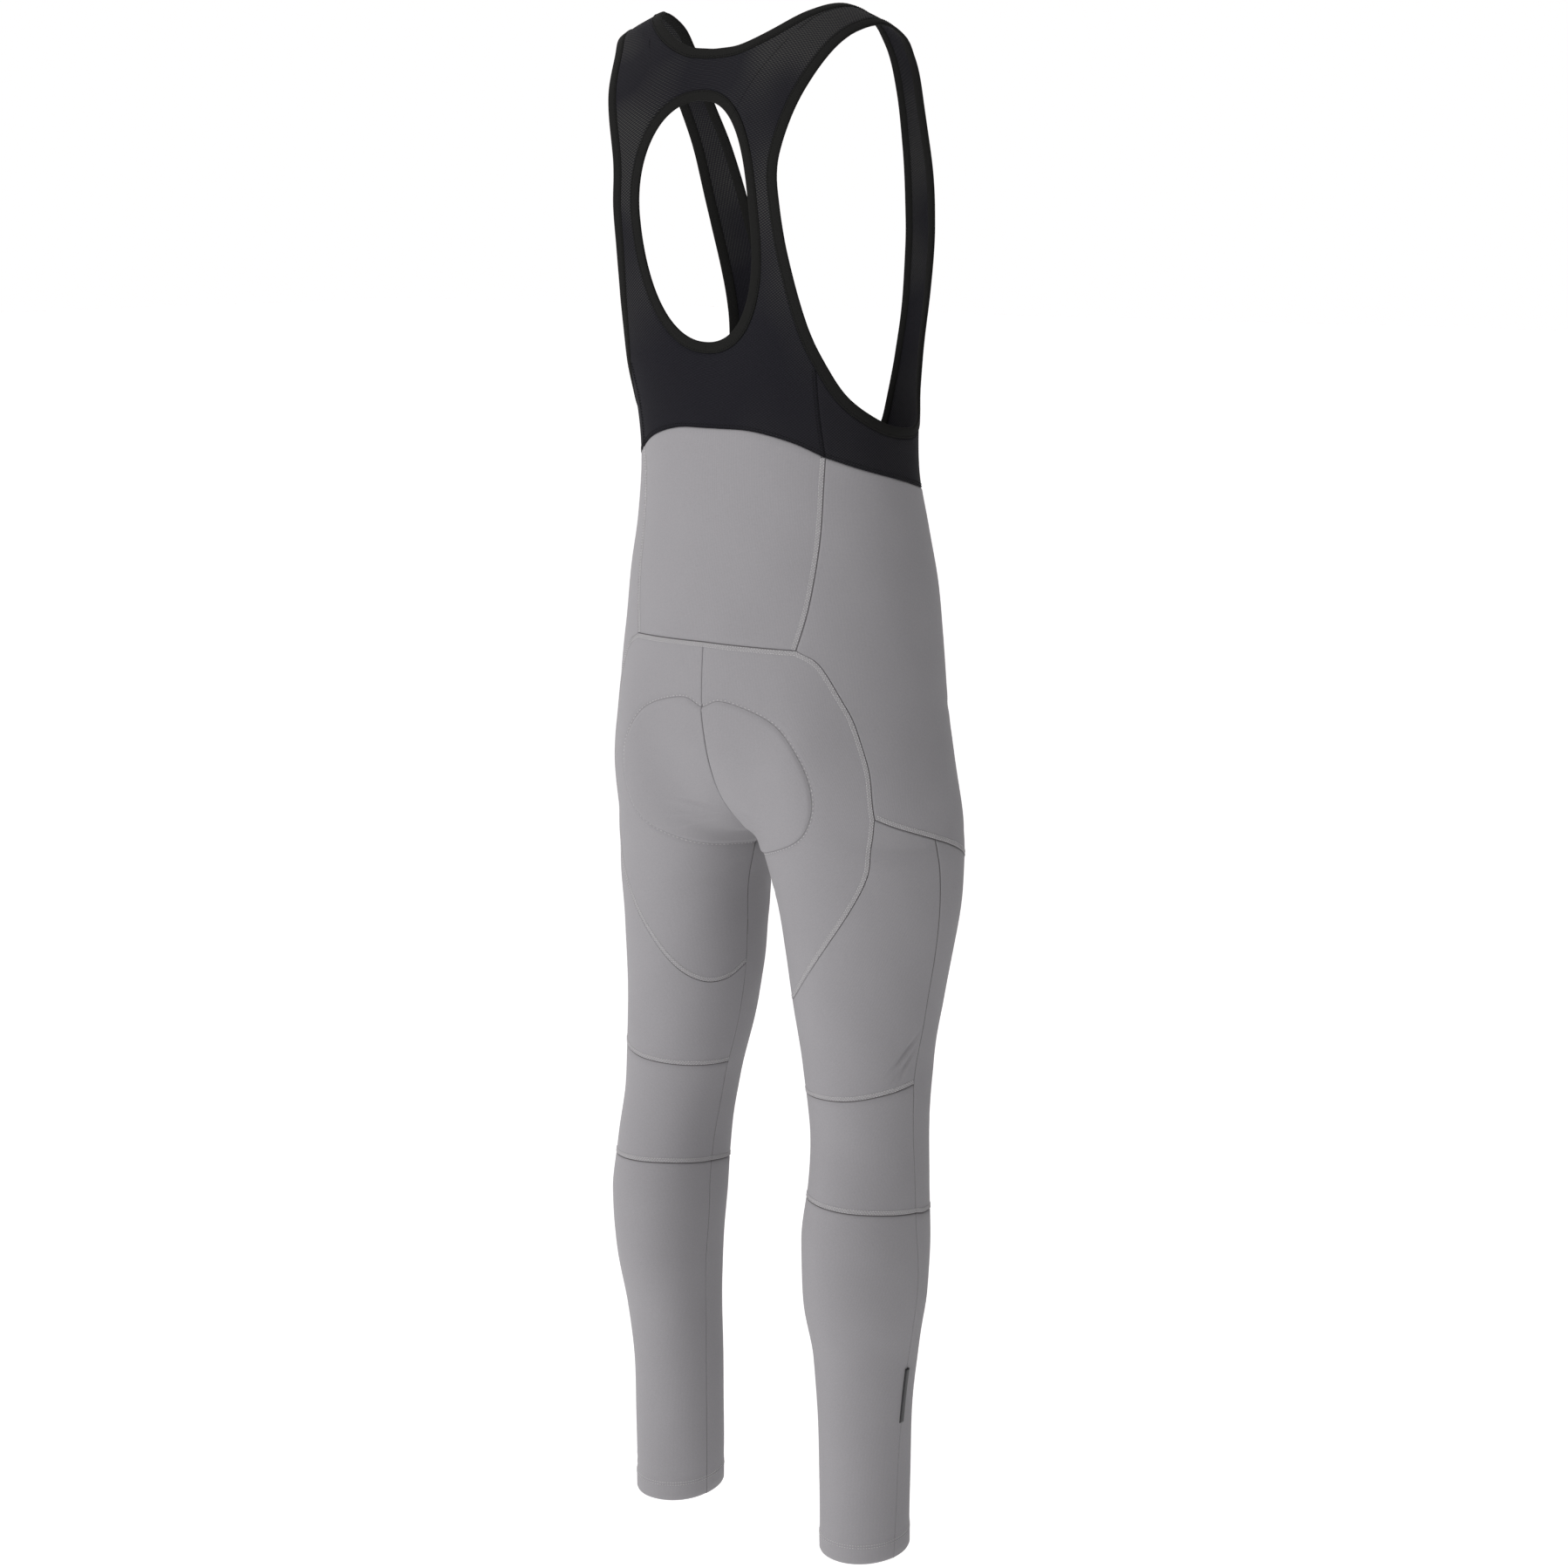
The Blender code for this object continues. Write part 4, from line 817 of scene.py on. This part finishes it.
class Strips:
    """Narrow strips of cloth that follow curves, gathered into one mesh."""

    def __init__(self):
        self.points = []
        self.faces = []
        self.count = 0

    def add(self, curve, side, section):
        """A strip whose section is given as offsets from the curve and heights over the cloth."""
        rows = []
        for offset, lift in section:
            chart = shift(curve, offset)
            rows.append(placed(chart, side, relief(chart, side) + lift)[0])
        rows = np.array(rows)
        wide, long = rows.shape[:2]
        ids = np.arange(wide * long).reshape(wide, long) + self.count
        self.points.append(rows.reshape(-1, 3))
        self.faces.append(cells(ids))
        self.count += wide * long

    def make(self, name, finish):
        return made(name, np.vstack(self.points), np.vstack(self.faces), finish)


def binding(name, edge, seam, sides, finish):
    """A folded elastic with a rounded section, from the seam to the free edge and back inside."""
    flip = np.stack([sides, np.ones(len(sides)), np.ones(len(sides))], -1)
    free, sewn = surface(edge) * flip, surface(seam) * flip
    free_up, sewn_up = normals(edge) * flip, normals(seam) * flip
    ring = []
    for fraction, height in BINDING:
        up = (1 - fraction) * sewn_up + fraction * free_up
        ring.append((1 - fraction) * sewn + fraction * free + up * height / 1000)
    ring = np.array(ring) - np.array([0.0, SHOULDER_BACK, 0.0])
    around_count, length = ring.shape[:2]
    ids = np.arange(around_count * length).reshape(around_count, length)
    a, b = ids, np.roll(ids, -1, axis=1)
    c, d = np.roll(b, -1, axis=0), np.roll(a, -1, axis=0)
    faces = np.stack([a, b, c, d], -1).reshape(-1, 4)
    run = run_along(ring[BINDING_TOP])
    plane = np.stack(np.broadcast_arrays(np.linspace(0, BINDING_ROUND, around_count)[:, None], run[None]), -1)
    return made(name, ring.reshape(-1, 3), faces, finish, plane.reshape(-1, 2))


def looped(half):
    """A half curve and then its mirror image, which has no points at the ends."""
    return np.vstack([half, half[-2:0:-1]])


def loop_sides(half):
    return [-1] * len(half) + [1] * (len(half) - 2)


def value(tree, kind, **inputs):
    """A shader node with its inputs set by name or number, from values or other nodes' outputs."""
    node = tree.nodes.new(kind)
    for name, given in inputs.items():
        if name.startswith("set_"):
            setattr(node, name[4:], given)
            continue
        key = int(name[1:]) if name[0] == "i" and name[1:].isdigit() else name.replace("_", " ")
        if isinstance(given, bpy.types.NodeSocket):
            tree.links.new(given, node.inputs[key])
        else:
            node.inputs[key].default_value = given
    return node


def maths(tree, operation, a, b=0.0, c=0.0):
    return value(tree, "ShaderNodeMath", set_operation=operation, i0=a, i1=b, i2=c).outputs[0]


def scaled(tree, a, b, c=0.0):
    """One value times the next, plus the last."""
    return maths(tree, "MULTIPLY_ADD", a, b, c)


def ranged(tree, given, low, high, least, most):
    return value(tree, "ShaderNodeMapRange", Value=given, From_Min=low, From_Max=high, To_Min=least,
                 To_Max=most).outputs[0]


def cloth_plane(tree):
    """Distances round and up the cloth, in metres."""
    plane = value(tree, "ShaderNodeUVMap", set_uv_map="cloth")
    split = value(tree, "ShaderNodeSeparateXYZ", Vector=plane.outputs[0])
    return split.outputs[0], split.outputs[1]


def noise(tree, scale, detail, rough):
    spot = value(tree, "ShaderNodeTexCoord")
    return value(tree, "ShaderNodeTexNoise", Vector=spot.outputs["Object"], Scale=scale, Detail=detail,
                 Roughness=rough).outputs["Fac"]


def material(name, **constants):
    """A material and its shader, with the shader's constant values by name."""
    finish = bpy.data.materials.new(name)
    finish.use_nodes = True
    shader = finish.node_tree.nodes["Principled BSDF"]
    for key, given in constants.items():
        shader.inputs[key.replace("_", " ")].default_value = given
    return finish, shader


def yarn_and_painted_sheen(tree, height, tint):
    """The bib's color, with the raised yarn painted brighter upwards, where the mesh opens and as painted
    sheen of the light from above, and in patches of painted sheen.
    """
    across, up = cloth_plane(tree)
    stretch_and_sheen = ranged(tree, up, CLOSED_MESH_LEAST_SHEEN, OPEN_MESH_MOST_SHEEN, YARN_SHEEN_CLOSED, YARN_SHEEN_OPEN)
    sheen_patch = ranged(tree, noise(tree, *SHEEN_PATCH), SHEEN_PATCH_FROM, SHEEN_PATCH_FULL, SHEEN_PATCH_LEAST, SHEEN_PATCH_MOST)
    share = scaled(tree, maths(tree, "POWER", height, YARN_POWER), scaled(tree, stretch_and_sheen, sheen_patch))
    return value(tree, "ShaderNodeMix", set_data_type="RGBA", i0=share, i6=tint,
                 i7=(*BIB_YARN_SHEEN, 1.0)).outputs[2]


def fabric(name, color, spread, roughness, gloss, sheen, depth, build_height):
    """A cloth: its color varies by a share and is painted darker as shade where its yarn's bump is low, and
    its height has the yarn in it.
    """
    finish, shader = material(name, Roughness=roughness, Sheen_Weight=sheen,
                              Sheen_Roughness=SHEEN_ROUGHNESS, Specular_IOR_Level=gloss)
    tree = finish.node_tree
    height = build_height(tree)
    light = scaled(tree, noise(tree, *FLECK), 2 * spread, 1 - spread)
    light = scaled(tree, light, scaled(tree, noise(tree, *DRIFT), *DRIFT_LIGHT))
    # Painted shade: the color darker where the yarn's bump is low, in its recesses
    light = scaled(tree, light, scaled(tree, height, *YARN_RECESS_SHADE))
    red, green, blue = (scaled(tree, light, share) for share in color)
    tint = value(tree, "ShaderNodeCombineColor", Red=red, Green=green, Blue=blue).outputs[0]
    # The bib's raised yarn painted brighter: partly the opening mesh, partly painted sheen upwards and in
    # patches
    if name == "bib":
        tint = yarn_and_painted_sheen(tree, height, tint)
    tree.links.new(tint, shader.inputs["Base Color"])
    bump = value(tree, "ShaderNodeBump", Strength=BUMP, Distance=depth, Height=height)
    tree.links.new(bump.outputs[0], shader.inputs["Normal"])
    return finish


def knit_height(tree):
    """Fine upright ribs of small slanted loops."""
    across, up = cloth_plane(tree)
    rib = maths(tree, "PINGPONG", scaled(tree, across, 1 / KNIT_RIB), 0.5)
    loop = maths(tree, "SINE", scaled(tree, up, 2 * math.pi / KNIT_LOOP, scaled(tree, rib, KNIT_SLANT)))
    return scaled(tree, loop, KNIT_LOOP_RISE, scaled(tree, rib, 1.0, KNIT_FOOT))


def mesh_height(tree):
    """Slanting rows of small raised dots with holes between them."""
    across, up = cloth_plane(tree)
    height = 0.5
    for slant, rise in MESH_ROWS:
        row = scaled(tree, scaled(tree, up, slant, across), 2 * math.pi / MESH_PITCH)
        height = scaled(tree, maths(tree, "SINE", row), rise, height)
    return height


def rib_height(tree):
    """Close ribs across an elastic."""
    across, up = cloth_plane(tree)
    return scaled(tree, maths(tree, "SINE", scaled(tree, up, 2 * math.pi / BAND_RIB)), BAND_RISE, 0.5)


def nap_height(tree):
    return noise(tree, *NAP)


def bead_height(tree):
    spot = value(tree, "ShaderNodeTexCoord")
    cell = value(tree, "ShaderNodeTexVoronoi", Vector=spot.outputs["Object"], Scale=BEADS)
    return maths(tree, "SUBTRACT", 1.0, cell.outputs["Distance"])


heights = {"knit": knit_height, "bib": mesh_height, "band": rib_height, "tab": bead_height}
finish = {name: fabric(name, *look, heights.get(name, nap_height)) for name, look in FABRICS.items()}


def keep(piece, slot, *nodes):
    """Hide the nodes that a piece takes the place of, and give the piece back. Its slot is not used."""
    if nodes:
        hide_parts(*nodes)
    return piece


def keep_cloth(cloth, kind, node):
    keep(cloth.make(f"{node}_cloth", finish[kind]), kind, node)


def keep_binding(node, edge, seam, sides):
    keep(binding(f"{node}_cloth", edge, seam, sides, finish["band"]), "band", node)


# The grey panels
s = {name: trace(points, SPANS[name]) for name, points in SEAMS.items()}
SIDES = (("right", -1), ("left", 1))
for name, grid in leg_pieces(s).items():
    times = FINER.get(name, 1)
    for label, side in SIDES:
        cloth = Cloth(relief, KNIT)
        cloth.add(refined(grid, times), side, times * ROLL_SHARE)
        keep_cloth(cloth, "knit", f"{name}_{label}")

waist = Cloth(relief, KNIT)
middle = straight(s["waist_foot"][0], s["border_back"][0], SPANS["waist_side"])
half = fill(s["waist_foot"], s["border_back"], middle, s["waist_side"][::-1])
for label, side in SIDES:
    waist.add(half, side)
keep_cloth(waist, "knit", "waist_back")

# The bib
neck_back, neck_back_seam, neck_front, neck_front_seam, armhole, armhole_seam = bib_edges()
side_seam = straight(s["border_back"][-1], armhole_seam[SPANS["armhole_back"]], SPANS["bib_side"])
outline_chart = bib_back_outline(s, side_seam, neck_back_seam, armhole_seam)
outline = out_and_level(outline_chart)
angles = [math.atan2(level - CUTOUT_LEVEL, out) for out, level in outline]
oval_edge = np.array([cutout_point(angle) for angle in angles])
oval_seam = np.array([cutout_point(angle, BAND_WIDTH) for angle in angles])
for oval in (oval_edge, oval_seam):
    oval[[0, -1], 0] = 0.0
layers = np.linspace(0, 1, SPANS["cutout_layers"] + 1)[:, None, None]
ring = (1 - layers) * oval_seam[None] + layers * outline[None]
half = np.stack([turn_at(ring[..., 0], ring[..., 1], True), ring[..., 1]], -1)
half[-1] = outline_chart
back = Cloth(no_relief, BIB_KNIT)
for label, side in SIDES:
    back.add(half, side)
keep_cloth(back, "bib", "bib_back")
keep_binding("cutout_binding", sheet(looped(oval_edge), True), looped(half[0]), loop_sides(oval_edge))

scoop = SPANS["neck_strap"]
side_end = SPANS["armhole_back"]
strap_end = side_end + SPANS["armpit"]
strap_foot = straight(neck_front_seam[scoop], armhole_seam[strap_end], SPANS["shoulder"])
scoop_seam = neck_front_seam[scoop:][::-1]
armpit_seam = armhole_seam[side_end:strap_end + 1][::-1]
bib_middle = straight(s["border_front"][-1], neck_front_seam[-1], SPANS["bib_middle"])
lower = fill(s["border_front"][::-1], join(scoop_seam, strap_foot, armpit_seam), bib_middle, side_seam)
shoulder = straight(neck_front_seam[0], armhole_seam[-1], SPANS["shoulder"])
strap = fill(strap_foot, shoulder, neck_front_seam[:scoop + 1][::-1], armhole_seam[strap_end:])
for label, side in SIDES:
    front = Cloth(no_relief, BIB_KNIT)
    front.add(lower, side)
    front.add(strap, side)
    keep_cloth(front, "bib", f"bib_front_{label}")
    keep_binding(f"armhole_binding_{label}", armhole[:-1], armhole_seam[:-1], [side] * (len(armhole) - 1))

half_edge = join(neck_back, neck_front)
half_seam = join(neck_back_seam, neck_front_seam)
keep_binding("neck_binding", looped(half_edge), looped(half_seam), loop_sides(half_edge))

# Seams of the grey panels: a thin dark strip of painted shade along each join, and on the flat ones a tape
# beside it with two rows of stitches and the rungs between them
for label, side in SIDES:
    thread, tapes, join_shades = Thread(), Strips(), Strips()
    for name, curve in s.items():
        if name.startswith(("border", "hem")):
            continue
        half = JOIN_SHADE_HALF if name in STITCHED else OPEN_JOIN_SHADE_HALF
        join_shades.add(curve, side, [(-half, JOIN_SHADE_LIFT), (half, JOIN_SHADE_LIFT)])
    for name, direction in STITCHED.items():
        offset = direction * TAPE_FROM_SEAM
        steps = np.linspace(-1, 1, TAPE_STEPS + 1)
        tapes.add(s[name], side, [(offset + step * TAPE_HALF,
                                   TAPE_RISE * (1 - abs(step) ** TAPE_SQUARENESS) - TAPE_SINK)
                                  for step in steps])
        run = even(s[name], PITCH)
        rows = [shift(run, offset + step * ROW_HALF) for step in (-1, 1)]
        for row in rows:
            thread.row(row, side, STITCH, TAPE_RISE + STITCH_LIFT)
        thread.rungs(rows[0], rows[1], side, LADDER, TAPE_RISE + LADDER_LIFT)
    for line in PAD_LINES:
        run = even(line, PAD_PITCH)
        thread.row(run, side, PAD_STITCH, STITCH_LIFT)
        # A thin dark strip beside the pad's stitches: painted shade along them
        half = JOIN_SHADE_HALF / 2
        join_shades.add(shift(line, PAD_LINE_OFFSET), side, [(-half, STITCH_LIFT), (half, STITCH_LIFT)])
    for curve in (s["hem_back"], s["hem_front"]):
        for rise in HEM_ROWS:
            thread.row(even(curve + np.array([0.0, rise]), PITCH), side, STITCH, STITCH_LIFT)
    keep(thread.make(f"seam_threads_{label}", finish["thread"]), "knit")
    keep(tapes.make(f"seam_tapes_{label}", finish["tape"]), "knit")
    # The dark join strips are painted shade along the seams
    keep(join_shades.make(f"seam_join_shades_{label}", finish["join"]), "knit")

# Stitches along the bindings and above the border
for label, side in SIDES:
    thread = Thread()
    for edge_line, seam_line in ((neck_back, neck_back_seam), (neck_front, neck_front_seam),
                                 (armhole, armhole_seam)):
        line = (1 - BINDING_STITCH) * seam_line + BINDING_STITCH * edge_line
        thread.row(even(line, PITCH), side, STITCH, BINDING_STITCH_LIFT, no_relief)
    oval = sheet((1 - BINDING_STITCH) * oval_seam + BINDING_STITCH * oval_edge, True)
    thread.row(even(oval, PITCH), side, STITCH, BINDING_STITCH_LIFT, no_relief)
    for name in ("border_back", "border_front"):
        for offset in BORDER_ROWS:
            thread.row(shift(even(s[name], PITCH), offset), side, STITCH, STITCH_LIFT, no_relief)
    for offset in BORDER_ROWS:
        thread.row(shift(even(side_seam, PITCH), offset), side, STITCH, STITCH_LIFT, no_relief)
    keep(thread.make(f"bib_threads_{label}", finish["black_thread"]), "band")


# The pad, thickest in its middle, with a soft channel along its edge
def pad_height(chart, side):
    return np.full(chart.shape[:-1], -KNIT - PAD_CLEAR)


def pad_depth(chart):
    line, middle_turn = (PAD_LINES[0], 1.0) if chart[..., 0].mean() > 0.5 else (PAD_LINES[1], 0.0)
    near = inside_and_near(chart, line, middle_turn)
    crown = ease(near / PAD_BEVEL) - PAD_CHANNEL * np.exp(-((near - PAD_CHANNEL_IN) / PAD_CHANNEL_WIDTH) ** 2)
    return PAD_EDGE + (PAD_DEPTH - PAD_EDGE) * np.clip(crown, 0.0, 1.0)


back_rows, front_rows = (
    np.array([straight((middle, level), (turn, edge_level), SPANS["pad_columns"])
              for level, turn, edge_level in rows])
    for middle, rows in ((1.0, PAD_BACK), (0.0, PAD_FRONT)))
front_rows = np.concatenate([around(back_rows[-1:]), front_rows])
pad = Cloth(pad_height, pad_depth)
for label, side in SIDES:
    pad.add(more_rows(back_rows, DETAIL), side)
    pad.add(more_rows(front_rows, DETAIL), side)
keep(pad.make("seat_pad_foam", finish["pad"]), "pad", "seat_pad")


# The tab on the right outer seam
def tab_height(chart, side):
    across = np.linspace(-1, 1, chart.shape[1])[None]
    return TAB_CLEAR + TAB_DEPTH - TAB_CROWN * across ** 2 + np.zeros(chart.shape[:-1])


seam = trace(SEAMS["outseam_calf"], TAB_CURVE)
levels = straight(TAB_TOP, TAB_FOOT, TAB_ROWS * DETAIL)
tab_middle = np.stack([np.interp(-levels, -seam[:, 1], seam[:, 0]), levels], -1)
tab = Cloth(tab_height, TAB_DEPTH)
tab.add(np.stack([shift(tab_middle, step * TAB_HALF) for step in np.linspace(-1, 1, TAB_COLUMNS)], 1), -1)
keep(tab.make("reflective_tab_folded", finish["tab"]), "tab", "reflective_tab")

# White light from all round that is dimmer on the garment's right
world = bpy.data.worlds.new("studio")
bpy.context.scene.world = world
world.use_nodes = True
tree = world.node_tree
sky = tree.nodes["Background"]
sky.inputs["Color"].default_value = SKY_COLOR
ways = value(tree, "ShaderNodeTexCoord")
toward = value(tree, "ShaderNodeVectorMath", set_operation="DOT_PRODUCT", i0=ways.outputs["Generated"],
               i1=DIM_WAY)
dim = value(tree, "ShaderNodeMapRange", set_interpolation_type="SMOOTHSTEP", Value=toward.outputs["Value"],
            From_Min=DIM_FROM, From_Max=DIM_FULL, To_Min=1.0, To_Max=DIM_LEAST)
seen = value(tree, "ShaderNodeLightPath").outputs["Is Camera Ray"]
tree.links.new(maths(tree, "MAXIMUM", dim.outputs[0], seen), sky.inputs["Strength"])

# The floor
corners = [(-FLOOR, -FLOOR, 0), (FLOOR, -FLOOR, 0), (FLOOR, FLOOR, 0), (-FLOOR, FLOOR, 0)]
floor_mesh = bpy.data.meshes.new("floor")
floor_mesh.from_pydata(corners, [], [(0, 1, 2, 3)])
floor_mesh.materials.append(material("floor", Base_Color=FLOOR_COLOR, Roughness=FLOOR_ROUGHNESS,
                                     Emission_Color=(1.0, 1.0, 1.0, 1.0),
                                     Emission_Strength=FLOOR_GLOW)[0])
floor = added("floor", floor_mesh)
floor.location = (0, 0, HEM - FLOOR_BELOW)

# Soft lamps
for name, place, aim, size, power in LAMPS:
    lamp = bpy.data.lights.new(name, "AREA")
    lamp.size = size
    lamp.energy = power
    stand = added(name, lamp)
    stand.location = place
    stand.rotation_euler = (Vector(aim) - Vector(place)).to_track_quat("-Z", "Y").to_euler()

# The camera, behind the garment and on its right
lens = bpy.data.cameras.new("camera")
lens.lens = CAMERA_LENS
camera = added("camera", lens)
camera.location = CAMERA_PLACE
across, down = math.radians(CAMERA_ACROSS), math.radians(CAMERA_DOWN)
look = Vector((math.sin(across) * math.cos(down), -math.cos(across) * math.cos(down), -math.sin(down)))
camera.rotation_euler = look.to_track_quat("-Z", "Y").to_euler()
bpy.context.scene.camera = camera
bpy.context.scene.view_settings.view_transform = "Standard"
